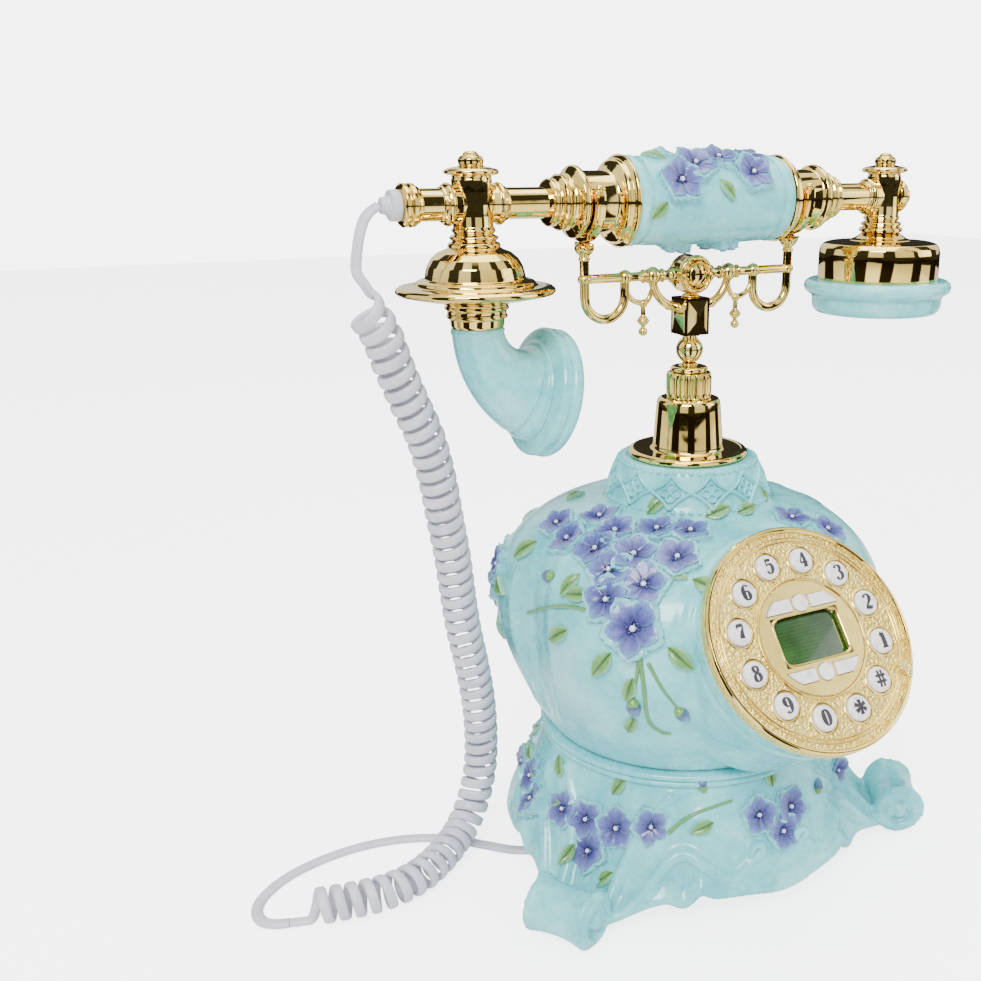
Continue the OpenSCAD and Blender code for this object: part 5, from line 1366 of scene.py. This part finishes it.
def dress(name, mat):
    """Gives a solid that is right as it is a finish of its own."""
    data = bpy.data.objects[name].data
    data.materials.clear()
    data.materials.append(shop(mat))


# ---------------------------------------------------------------- pillar and cradle

BAR_Z = 238.2    # the cradle bar's axis
FORK_X = 45.6    # the forks, left and right of the pillar


def make_pillar(size):
    """Turned flange and bell, and the fluted guide collar: radius 8.85 less 0.55 where the flute is cut."""
    shell = Shell().lathe([
        (5.3, 168.2), (23.1, 168.2), (23.7, 168.8), (23.7, 169.9), (22.9, 170.6), (21.6, 170.9),
        (20.9, 170.6),
        (14.8, 170.6), (14.1, 171.2), (13.9, 172.2), (13.3, 180), (12.75, 187), (12.4, 189.6), (11.8, 190.6),
        (10.5, 191), (5.3, 191)], turned("z", [0, 0, 0]), 128)
    piece("pillar_turned", shell, shop("gold_plated_brass"), "base", ["pillar_base"])
    n = 28 * 10
    a = np.linspace(0, 2 * math.pi, n, endpoint=False)
    cut = 0.75 * np.clip(0.5 - 0.5 * np.cos(28 * a), 0, 1) ** 0.7
    rows = []
    for r, z, deep in ((4.9, 191.0, 0), (8.2, 191.0, 0), (8.6, 191.2, 0.0), (8.85, 191.8, 1),
                       (8.95, 193.5, 1),
                       (8.95, 198.8, 1), (8.8, 200.2, 1), (8.4, 200.8, 0.2), (7.9, 201.0, 0), (4.9, 201.0, 0),
                       (4.9, 196, 0)):
        rr = r - deep * cut
        rows.append(np.stack([rr * np.cos(a), rr * np.sin(a), np.full(n, z)], -1))
    piece("fluted_collar", Shell().grid(np.stack(rows), wrap_rows=True), shop("gold_plated_brass"), "base",
          ["knurled_collar"])


def faceted_block(shell, z0):
    """A square block with a low pyramid on each side: corners (+-5.3, +-5.3), apexes 7.2 out."""
    h, half = 14.0, 5.3
    for k in range(4):
        t = math.pi / 2 * k
        out, side = np.array([math.cos(t), math.sin(t), 0]), np.array([-math.sin(t), math.cos(t), 0])
        border, inner = half, half - 0.9
        rows = []
        for half_w, half_h, depth in ((border, h / 2, half), (inner, h / 2 - 1.0, half),
                                      (inner - 0.35, h / 2 - 1.35,
                                                                                   half + 0.1)):
            rows.append([out * depth + side * x * half_w + Z * (z0 + h / 2 + y * half_h)
                         for x, y in ((-1, -1), (1, -1), (1, 1), (-1, 1))])
        rows.append([out * (half + 1.9) + Z * (z0 + h / 2)] * 4)
        shell.grid(np.array(rows))
    for z in (z0, z0 + h):
        rows = [[np.array([x * half * s, y * half * s, z]) for x, y in ((-1, -1), (1, -1), (1, 1), (-1, 1))]
                for s in (1, 0)]
        shell.grid(np.array(rows))


def make_cradle(size):
    """The sliding stem with its cap, ball and faceted block, and the bar with rosette, beads, arcs and
    pendants."""
    shell = Shell()
    zf = turned("z", [0, 0, 0])
    shell.lathe([(0, 156), (4.8, 156), (4.8, 201.3), (7.0, 201.3), (7.3, 201.7), (7.3, 202.5), (6.6, 203.2),
                 (4.2, 203.4), (3.4, 203.7), (3.0, 204.4), (0, 204.4)], zf, 72)
    shell.ball([0, 0, 209.5], 5.3, 48)
    shell.lathe([(0, 213), (3.0, 213.6), (2.7, 214.2), (2.7, 214.6), (3.7, 214.9), (3.7, 215.4), (0, 215.6)],
                zf, 48,
                cut=0.12)
    faceted_block(shell, 215.6)
    shell.lathe([(0, 229.4), (3.4, 229.7), (3.6, 230.1), (2.9, 230.5), (2.7, 231), (0, 232)], zf, 48,
                cut=0.12)
    piece("stem_turned", shell, shop("gold_plated_brass"), "cradle", ["cradle_stem"], sharp=22)
    bar = Shell()
    half = [(0, 6.6), (2, 6.3), (3.6, 5.4), (4.5, 4.2), (4.8, 3.7), (5.2, 3.55), (5.7, 4.3), (6.4, 4.75),
            (7.0, 4.4),
            (7.25, 3.5), (6.9, 2.9), (6.7, 1.6)]
    bar.lathe(half + [(6.7, 0)] + [(r, -h) for r, h in reversed(half)], turned("-y", [0, 0, BAR_Z]), 72,
              cut=0.2)
    n = 14
    for k in range(n):
        t = 2 * math.pi * k / n
        for s in (-1, 1):
            bar.ball([6.05 * math.cos(t), s * 4.75, BAR_Z + 6.05 * math.sin(t)], 0.85, 12, squash=0.7)
    for s in (-1, 1):
        xf = turned("x" if s > 0 else "-x", [0, 0, BAR_Z])
        bar.lathe([(0, 5.0), (2.9, 5.0), (2.9, 9.2), (2.3, 9.6), (1.8, 10.2), (1.75, 12.4), (2.5, 12.7),
                   (2.6, 13.2),
                   (2.2, 13.6), (1.8, 14.0), (1.8, 20.3), (2.3, 20.5), (2.6, 21.0), (2.4, 21.5), (1.8, 21.8),
                   (1.65, 24), (1.65, 44.2), (0, 44.4)], xf, 40, cut=0.15)
        bar.ball([s * 17.1, 0, BAR_Z], 3.3, 32)
        t = np.linspace(-0.06, math.pi / 2 + 0.08, 26)
        arc = np.stack([s * (4.9 + 12.2 * np.cos(t)), 0 * t, BAR_Z - 12.2 * np.sin(t)], -1)
        bar.tube(arc, 1.6, Y, 20)
        bar.ball([s * 9.8, 0, BAR_Z - 7.6 - 3.7], 1.9, 18)
        joint = np.array([s * 21.0, 0, BAR_Z - 10])
        for end in (s * 28.2, s * 17.3):
            mid = (joint + np.array([end, 0, BAR_Z - 5.4])) / 2 + np.array([(end - joint[0]) * 0.12, 0, -0.8])
            bar.tube(catmull([joint, mid, [end, 0, BAR_Z - 5.2]], 8), 0.95, Y, 14,
                     scale=np.linspace(1.15, 0.95, 17))
        bar.ball(joint, 1.6, 20)
        down = turned("z", joint)
        bar.lathe([(0, -12.0), (0.9, -11.8), (1.55, -11.2), (1.75, -10.3), (1.45, -9.4), (0.8, -8.9),
                   (0.75, -8.2),
                   (1.5, -7.6), (2.3, -6.6), (2.3, -6.1), (1.6, -5.2), (0.9, -4.2), (0.85, -1.2), (0, -0.6)],
                  down, 28, cut=0.15)
    piece("bar_turned", bar, shop("gold_plated_brass"), "cradle", ["cradle_bar"])


def make_forks(size):
    """Each fork: a bent hook of round rod, a leaf-shaped foot, and a half ring with two ridges whose section
    is carried round the groove of the handset and up both arms."""
    for s, name in ((-1, "left_fork"), (1, "right_fork")):
        shell = Shell()
        t = np.linspace(0, math.pi, 34)
        bend = np.stack([s * (37.25 + 8.35 * np.cos(t)), 0 * t, BAR_Z - 6.4 - 8.35 * np.sin(t)], -1)
        path = np.vstack([[[s * FORK_X, 0, 248.2]], [[s * FORK_X, 0, 240]], bend, [[s * 28.9, 0, 235]],
                          [[s * 28.9, 0, BAR_Z]]])
        shell.tube(path, 1.75, Y, 24)
        shell.ball([s * 28.9, 0, BAR_Z], 2.7, 28)
        shell.ball([s * FORK_X, 0, BAR_Z], 2.55, 28, squash=0.8)
        shell.lathe([(0, 244.6), (1.9, 244.7), (2.3, 245.2), (1.9, 245.9), (1.8, 246.6), (2.9, 247.5),
                     (3.6, 248.7),
                     (3.5, 249.8), (2.7, 250.9), (1.8, 251.4), (0, 251.4)], turned("z", [s * FORK_X, 0, 0]),
                     32, cut=0.2)
        for side in (-1, 1):
            q = np.linspace(0, 1, 14)
            leaf_path = np.stack([np.full(14, s * FORK_X), side * (1.0 + 5.6 * q),
                                  248.3 + 2.2 * q ** 1.6 + 0.6 * q], -1)
            shell.sweep(leaf_path, [[0.9, 0], [0.3, 1.7], [-0.5, 1.2], [-0.6, 0], [-0.5, -1.2], [0.3, -1.7]],
                        Z,
                        scale=np.sin(np.pi * (0.12 + 0.83 * q)) ** 0.8)
        t = np.linspace(0, math.pi, 72)
        lower = np.stack([0 * t, -12.3 * np.cos(t), -12.3 * np.sin(t)], -1)
        arm = np.linspace(1, 0.15, 7)[:, None] * np.array([[0, 0, 5.0]])
        path = np.vstack([arm + [0, -12.3, 0], lower, arm[::-1] + [0, 12.3, 0]])
        path = path + HANDSET * [0, 0, 1] + [s * FORK_X, 0, 0]
        centre = np.array([s * FORK_X, 0, 265.0])
        out = path - np.where(path[:, 2:] > 265, np.array([1, 0, 0]) * centre + Z * path[:, 2:], centre)
        section = [[-1.15, 1.7], [-1.3, 0], [-1.15, -1.7], [-0.6, -2.0], [0.5, -2.0], [1.35, -1.55],
                   [1.5, -1.0],
                   [1.15, -0.45], [0.85, 0], [1.15, 0.45], [1.5, 1.0], [1.35, 1.55], [0.5, 2.0], [-0.6, 2.0]]
        tip = 1 - 0.45 * np.exp(-np.minimum(np.arange(len(path)), np.arange(len(path))[::-1]) / 1.2)
        shell.sweep(path, section, out, scale=tip)
        for side in (-1, 1):
            shell.ball(centre + [0, side * 12.3, 4.6], 1.55, 20, squash=1.25, axis=(Y, Z, X))
        piece(name + "_bent", shell, shop("gold_plated_brass"), "cradle", [name])


# ---------------------------------------------------------------- handset

MOUTH_TEE = [(0, 16.8), (1.6, 16.7), (2.4, 16.2), (2.7, 15.5), (3.6, 15.2), (4.3, 14.2), (4.2, 12.9),
             (3.9, 12.4),
             (4.6, 12), (6.5, 11.7), (8.5, 11.2), (9.2, 10.5), (9.1, 9.8), (8.2, 9.3), (6.6, 9.1), (6.5, 8.6),
             (6.8, 7.8), (6.65, 4), (6.6, 0), (6.65, -4), (6.8, -7.2), (7.2, -7.9), (7.5, -8.5), (7.1, -9.1),
             (6.6, -9.5), (6.9, -9.9), (8.2, -10.4), (8.4, -11), (7.8, -11.6), (7.3, -12), (8.6, -12.5),
             (9, -13.2),
             (8.8, -14), (0, -14)]
MOUTH_DOME = [(0, -13.9), (9, -14), (9.4, -14.4), (12.4, -15.6), (14.8, -17.6), (16.3, -20.2), (17, -23),
              (17.1, -24.3), (18.9, -24.6), (20.3, -25.2), (20.7, -26), (21.2, -26.5), (24, -26.6),
              (26.2, -26.9),
              (27.2, -27.7), (27.4, -28.6), (26.6, -29.4), (24, -30), (18, -31.2), (12.8, -32), (11.2, -32.6),
              (10.7, -33.3), (11.2, -34), (10.9, -34.6), (10.2, -34.9), (10.2, -36.4), (10.6, -36.8),
              (10.4, -37.5),
              (9.4, -37.8), (9.2, -40.2), (8.8, -41), (0, -41)]
EAR_BELL = [(0, -13.9), (7.4, -14), (8.6, -15.2), (10.8, -16.6), (12.6, -17.2), (13.2, -17.6), (20.5, -17.9),
            (23, -18.6), (24.4, -20.2), (24.85, -22.4), (24.85, -33.2), (22.85, -33.2), (22.85, -22.4),
            (0, -22.4)]
EAR_RING = [(0, -36.2), (21.85, -36.2), (21.85, -33.2), (25.9, -33.2), (28.6, -33.4), (30.1, -34.6),
            (30.5, -36.2),
            (30, -37.8), (28.6, -38.9), (27.4, -39.6), (26.9, -40.6), (26.8, -43.6), (26.2, -45.4),
            (24.8, -46.7),
            (23, -47), (21.7, -46.4), (21.4, -45.2), (21.4, -39.2), (20.4, -38.2), (0, -38.2)]
GRIP_END = [(0, 33.2), (15.2, 33.4), (16.1, 34.1), (16.2, 34.9), (15.5, 35.6), (14.6, 36.0), (14.5, 37.6),
            (13.8, 38.4), (12.2, 39.0), (11.0, 39.8), (10.6, 40.6), (10.6, 50.7), (11.2, 51.3), (12.3, 52.0),
            (12.5, 53.0), (12.2, 54.0), (10.9, 54.6), (9.4, 55.2), (8.8, 56.2), (8.8, 57.4), (9.5, 58.0),
            (9.6, 59.0), (8.9, 59.8), (7.8, 60.2), (7.4, 61.0), (7.5, 61.6), (8.1, 62.1), (8.0, 63.1),
            (7.1, 63.6),
            (0, 63.6)]


def make_grip(size):
    """Barrel of the grip, lathed along X: 15.4 at its ends, 16 in the middle, with a bead near each end, and
    the gilt ends beside it."""
    x = np.linspace(-33.6, 33.6, 71)
    r = 15.3 + 0.75 * np.cos(np.pi * x / 67.2) + 0.5 * np.exp(-((np.abs(x) - 31.2) / 1.2) ** 2) \
        - 0.35 * np.exp(-((np.abs(x) - 28.4) / 0.8) ** 2)
    prof = np.vstack([[(0, -33.8)], [(14.6, -33.8)], np.stack([r, x], -1), [(14.6, 33.8)], [(0, 33.8)]])
    shell = Shell().lathe(prof, turned("x", HANDSET), 128, cut=0.2)
    barrel = piece("grip_barrel", shell, shop("cast_resin_aqua"), "handset", ["grip"])
    pts = points_of(barrel)
    edge = np.abs(pts[:, 0] - HANDSET[0])
    # painted shade in the groove beside each bead and where the barrel meets the gilt ends
    paint_points(barrel, shade_of(0.75 * np.exp(-((edge - 28.6) / 1.0) ** 2)
                                  + 0.6 * smoothstep((edge - 32.4) / 1.2)))
    gold = Shell()
    gold.lathe(GRIP_END, turned("x", HANDSET), 96, cut=0.3)
    gold.lathe(GRIP_END, turned("-x", HANDSET), 96, cut=0.3)
    piece("grip_ends_turned", gold, shop("gold_plated_brass"), "handset", ["grip_ends"])


def make_tube(size):
    """The long tube with the ribbed end that takes the cord, and the two tees with their finials."""
    shell = Shell()
    shell.lathe([(0, -116), (6.2, -116), (7.0, -115.4), (7.0, -114.2), (6.2, -113.6), (7.0, -113.0),
                 (7.0, -111.6),
                 (6.2, -110.9), (6.0, -110.0), (5.27, -109.6), (5.27, -60), (5.27, 60), (5.27, 93.4),
                 (5.0, 93.6),
                 (0, 93.6)], turned("x", HANDSET), 64, cut=0.2)
    piece("tube_turned", shell, shop("gold_plated_brass"), "handset", ["handset_tube"])
    for name, side in (("mouth_tee", -1), ("ear_tee", 1)):
        at = HANDSET + X * side * TEE_X
        shell = Shell().lathe(MOUTH_TEE, turned("z", at), 72, cut=0.22)
        for s in ("x", "-x"):
            if side > 0 and s == "x":
                prof = [(0, 5), (5.6, 5.2), (6.2, 6.4), (6.6, 7.4), (6.5, 8.2), (5.2, 8.9), (3.9, 9.2),
                        (3.4, 9.8),
                        (3.9, 10.4), (3.7, 11.6), (2.6, 12.6), (0, 13.0)]
            else:
                prof = [(0, 5), (6.2, 5.4), (6.3, 8.0), (6.9, 8.5), (7.1, 9.4), (6.6, 10.2), (5.9, 10.6),
                        (5.8, 11.4),
                        (5.2, 11.9), (0, 11.9)]
            shell.lathe(prof, turned(s, at), 56, cut=0.2)
        piece(name + "_turned", shell, shop("gold_plated_brass"), "handset", [name])


def make_mouthpiece(size):
    """Dome and wide flange over a ribbed neck; a horn bent through 77 degrees whose radius grows as
    8.9 + 1.2 s + 8.1 s^2.2; and the cup at its end with a drilled face."""
    at = HANDSET - X * TEE_X
    shell = Shell().lathe(MOUTH_DOME, turned("z", at), 128, cut=0.25)
    piece("mouth_dome", shell, shop("gold_plated_brass"), "handset", ["mouth_flange"])
    foot = at - Z * 41
    turn = math.radians(77)
    s = np.linspace(0, 1, 60)
    a = np.linspace(0, 2 * math.pi, 72, endpoint=False)
    r = 8.9 + 1.2 * s + 8.1 * s ** 2.2
    r = r - 0.7 * np.exp(-((s - 0.90) / 0.014) ** 2) + 0.35 * np.exp(-((s - 0.945) / 0.02) ** 2) \
        + 0.5 * np.exp(-((s - 0.03) / 0.02) ** 2)
    t = (turn * s)[:, None]
    reach = 24.5 - r[:, None] * np.cos(a)
    pts = np.stack([24.5 - reach * np.cos(t), -r[:, None] * np.sin(a) + 0 * t, -reach * np.sin(t)], -1)
    first = np.repeat(np.array([[[0.0, 0, 0]]]), 72, 1)
    last = np.repeat(np.array([[[24.5 * (1 - math.cos(turn)), 0, -24.5 * math.sin(turn)]]]), 72, 1)
    horn = Shell().grid(np.concatenate([first, pts, last]) + foot)
    piece("horn", horn, shop("cast_resin_aqua"), "handset", ["mouth_elbow"])
    tip = foot + np.array([24.5 * (1 - math.cos(turn)), 0, -24.5 * math.sin(turn)])
    b = math.pi - turn
    cu, cn = np.array([math.cos(b), 0, -math.sin(b)]), np.array([math.sin(b), 0, math.cos(b)])
    cup = Shell().lathe([
        (0, 0), (16.5, 0), (17.6, 0.1), (18.6, 0.7), (20.4, 1.1), (22.4, 1.6), (23.2, 2.6), (23.2, 4.6),
        (22.7, 5.3),
        (22.7, 6.0), (23.3, 6.7), (23.3, 8.2), (22.6, 9.6), (21.6, 10.4), (20.8, 10.1), (20.4, 9.0),
        (20.0, 5.4),
        (19.0, 4.6), (0, 4.4)], (tip, cu, Y, cn), 112, cut=0.3)
    piece("cup", cup, shop("cast_resin_aqua"), "handset", ["mouth_cup"])
    face = Shell().lathe([(0, 4.5), (17.8, 4.5), (18.6, 4.8), (18.4, 5.6), (17, 5.9), (9, 6.7), (0, 7.0)],
                         (tip, cu, Y, cn), 96, cut=0.3)
    for rad, count in ((0.01, 1), (3.4, 6), (6.8, 12), (10.2, 18)):
        for k in range(count):
            t = 2 * math.pi * k / count
            c = tip + cu * rad * math.cos(t) + Y * rad * math.sin(t) + cn * (6.72 - 0.011 * rad * rad)
            face.ball(c, 0.85, 10, 1, squash=0.4, axis=(cu, Y, cn))
    piece("mouth_grille", face, [shop("cast_resin_aqua"), shop("textured_black_abs")], "handset",
          ["microphone"])


def make_earpiece(size):
    """The gilt bell and the resin ring with its roll, and a domed face with holes in it."""
    at = HANDSET + X * TEE_X
    shell = Shell().lathe(EAR_BELL, turned("z", at), 128, cut=0.3)
    piece("ear_bell_turned", shell, shop("gold_plated_brass"), "handset", ["ear_bell"])
    ring = Shell().lathe(EAR_RING, turned("z", at), 144, cut=0.35)
    for rad, count in ((0.01, 1), (4.4, 6), (8.8, 12), (13.2, 18)):
        for k in range(count):
            t = 2 * math.pi * k / count
            ring.ball(at + [rad * math.cos(t), rad * math.sin(t), -38.22], 1.0, 10, 1, squash=0.3)
    obj = piece("ear_ring_cast", ring, [shop("cast_resin_aqua"), shop("textured_black_abs")], "handset",
                ["ear_ring"])
    pts = points_of(obj)
    # painted shade in the crease under the ring's roll
    paint_points(obj, shade_of(0.8 * np.exp(-((pts[:, 2] - 265 + 39.9) / 0.7) ** 2)
                               * (np.hypot(pts[:, 0] - at[0], pts[:, 1]) > 25)))
    dress("receiver", "speaker_cloth")
    shell = Shell().lathe([(0, 0.0), (4.6, 0), (5.0, -0.4), (5.0, -3.3), (4.6, -3.6), (3.4, -3.7),
                           (3.1, -4.4), (2.5, -6.4),
                           (0, -6.8)], turned("x", HANDSET - X * 116), 48, cut=0.2)
    piece("grommet_moulded", shell, shop("grommet_pvc"), "handset", ["cord_grommet"])


# ---------------------------------------------------------------- underside

def make_underside(size):
    """Finishes for the plate, pads, screws, speakers, sockets and switches, which keep their solid shapes,
    and pads with a moulded rim."""
    for names, mat in ((("bottom_plate", "ringer_cover", "handset_jack", "line_jack"), "textured_black_abs"),
                       (("ringer_slide", "tone_slide", "flash_slide", "hook_switch"), "textured_black_abs"),
                       (("ringer_speaker", "handsfree_speaker"), "speaker_cloth"),
                       (("bottom_screws", "hook_spring"), "zinc_plated_steel"),
                       (("main_board",), "solder_mask_board")):
        for name in names:
            dress(name, mat)
    shell = Shell()
    for foot in FEET:
        t = math.radians(foot)
        shell.lathe([(0, 0), (3.4, 0), (3.6, 0.3), (4.2, 0.3), (4.4, 0), (4.8, 0), (5, 0.3), (5, 1.9),
                     (0, 2.0)],
                    turned("z", [75 * math.cos(t), 75 * math.sin(t), 0]), 40, cut=0.1)
    piece("pads_moulded", shell, shop("black_rubber"), "base", ["rubber_feet"])


# ---------------------------------------------------------------- add-on

class PhoneSizes(bpy.types.PropertyGroup):
    """Sizes and colours that a user would change."""
    resin: bpy.props.FloatVectorProperty(name="Resin", description="Ground colour of the cast resin",
                                         subtype='COLOR', size=3, default=linear("#74CDD2"), min=0, max=1)
    flower_size: bpy.props.FloatProperty(name="Flower radius", description="Radius of a moulded flower",
                                         default=0.0085, min=0.005, max=0.012, subtype='DISTANCE',
                                         unit='LENGTH')
    figure_height: bpy.props.FloatProperty(name="Figure height",
                                           description="Height of the figures on the keys",
                                           default=0.0057, min=0.003, max=0.006, subtype='DISTANCE',
                                           unit='LENGTH')
    curls: bpy.props.IntProperty(name="Curls", description="Turns of the curly cord", default=56, min=20,
                                 max=60)
    curl_points: bpy.props.IntProperty(name="Points per curl",
                                       description="Points along each curl of the cord",
                                       default=24, min=12, max=36)
    curl_radius: bpy.props.FloatProperty(name="Curl radius",
                                         description="Radius of a curl at the cord's middle",
                                         default=0.0059, min=0.004, max=0.007, subtype='DISTANCE',
                                         unit='LENGTH')
    cord_width: bpy.props.FloatProperty(name="Cord width", description="Width of the flat cord",
                                        default=0.0040,
                                        min=0.003, max=0.0045, subtype='DISTANCE', unit='LENGTH')
    cord_thickness: bpy.props.FloatProperty(name="Cord thickness", description="Thickness of the flat cord",
                                            default=0.0024, min=0.0018, max=0.003, subtype='DISTANCE',
                                            unit='LENGTH')


class Step:
    """What the steps share: each runs its makers with the scene's sizes."""
    makers = ()

    def execute(self, context):
        for make in self.makers:
            make(context.scene.phone)
        return {'FINISHED'}


class PHONE_OT_stage(bpy.types.Operator):
    """Makes the camera, the light and the floor"""
    bl_idname = "phone.stage"
    bl_label = "Stage"

    def execute(self, context):
        make_camera()
        make_light()
        make_floor()
        return {'FINISHED'}


class PHONE_OT_cord(Step, bpy.types.Operator):
    """Makes the curly cord with its lead and plug"""
    bl_idname = "phone.cord"
    bl_label = "Cord"
    makers = (make_cord,)


class PHONE_OT_belly(Step, bpy.types.Operator):
    """Makes the belly with the dial's nozzle and the lattice round its neck"""
    bl_idname = "phone.belly"
    bl_label = "Belly"
    makers = (make_belly,)


class PHONE_OT_base(Step, bpy.types.Operator):
    """Makes the skirt, the scroll feet and the ring moulding"""
    bl_idname = "phone.base"
    bl_label = "Base"
    makers = (make_base,)


class PHONE_OT_dial(Step, bpy.types.Operator):
    """Finishes the dial plate and adds its beads and lines"""
    bl_idname = "phone.dial"
    bl_label = "Dial"
    makers = (make_dial,)


class PHONE_OT_keys(Step, bpy.types.Operator):
    """Makes the twelve number keys with their figures"""
    bl_idname = "phone.keys"
    bl_label = "Number keys"
    makers = (make_keys,)


class PHONE_OT_pillar(Step, bpy.types.Operator):
    """Makes the pillar's flange, bell and fluted collar"""
    bl_idname = "phone.pillar"
    bl_label = "Pillar"
    makers = (make_pillar,)


class PHONE_OT_cradle(Step, bpy.types.Operator):
    """Makes the sliding stem, the bar and the two forks"""
    bl_idname = "phone.cradle"
    bl_label = "Cradle"
    makers = (make_cradle, make_forks)


class PHONE_OT_handset(Step, bpy.types.Operator):
    """Makes the grip, the tube and the two tees"""
    bl_idname = "phone.handset"
    bl_label = "Handset"
    makers = (make_grip, make_tube)


class PHONE_OT_mouthpiece(Step, bpy.types.Operator):
    """Makes the mouthpiece: dome, horn, cup and grille"""
    bl_idname = "phone.mouthpiece"
    bl_label = "Mouthpiece"
    makers = (make_mouthpiece,)


class PHONE_OT_earpiece(Step, bpy.types.Operator):
    """Makes the earpiece and the cord's grommet"""
    bl_idname = "phone.earpiece"
    bl_label = "Earpiece"
    makers = (make_earpiece,)


class PHONE_OT_flowers(Step, bpy.types.Operator):
    """Makes the moulded flowers of the belly, the skirt and the grip"""
    bl_idname = "phone.flowers"
    bl_label = "Flowers"
    makers = (make_flowers,)


class PHONE_OT_underside(Step, bpy.types.Operator):
    """Finishes the plate, sockets, switches and pads"""
    bl_idname = "phone.underside"
    bl_label = "Underside"
    makers = (make_underside,)


STEPS = (PHONE_OT_stage, PHONE_OT_cord, PHONE_OT_belly, PHONE_OT_base, PHONE_OT_dial, PHONE_OT_keys,
         PHONE_OT_pillar, PHONE_OT_cradle, PHONE_OT_handset, PHONE_OT_mouthpiece, PHONE_OT_earpiece,
         PHONE_OT_flowers, PHONE_OT_underside)


class PHONE_PT_panel(bpy.types.Panel):
    """Lists the sizes and the steps"""
    bl_idname = "PHONE_PT_panel"
    bl_label = "Telephone"
    bl_space_type = 'VIEW_3D'
    bl_region_type = 'UI'
    bl_category = "Telephone"

    def draw(self, context):
        column = self.layout.column()
        for name in PhoneSizes.__annotations__:
            column.prop(context.scene.phone, name)
        for step in STEPS:
            column.operator(step.bl_idname)


CLASSES = (PhoneSizes, *STEPS, PHONE_PT_panel)


def register():
    """Registers the classes and the scene's sizes."""
    for cls in CLASSES:
        bpy.utils.register_class(cls)
    bpy.types.Scene.phone = bpy.props.PointerProperty(type=PhoneSizes)


def unregister():
    """Takes them away again."""
    del bpy.types.Scene.phone
    for cls in reversed(CLASSES):
        bpy.utils.unregister_class(cls)


def main():
    """Runs every step in order."""
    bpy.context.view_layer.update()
    register()
    for step in STEPS:
        group, name = step.bl_idname.split(".")
        getattr(getattr(bpy.ops, group), name)()


if __name__ == "__main__":
    main()
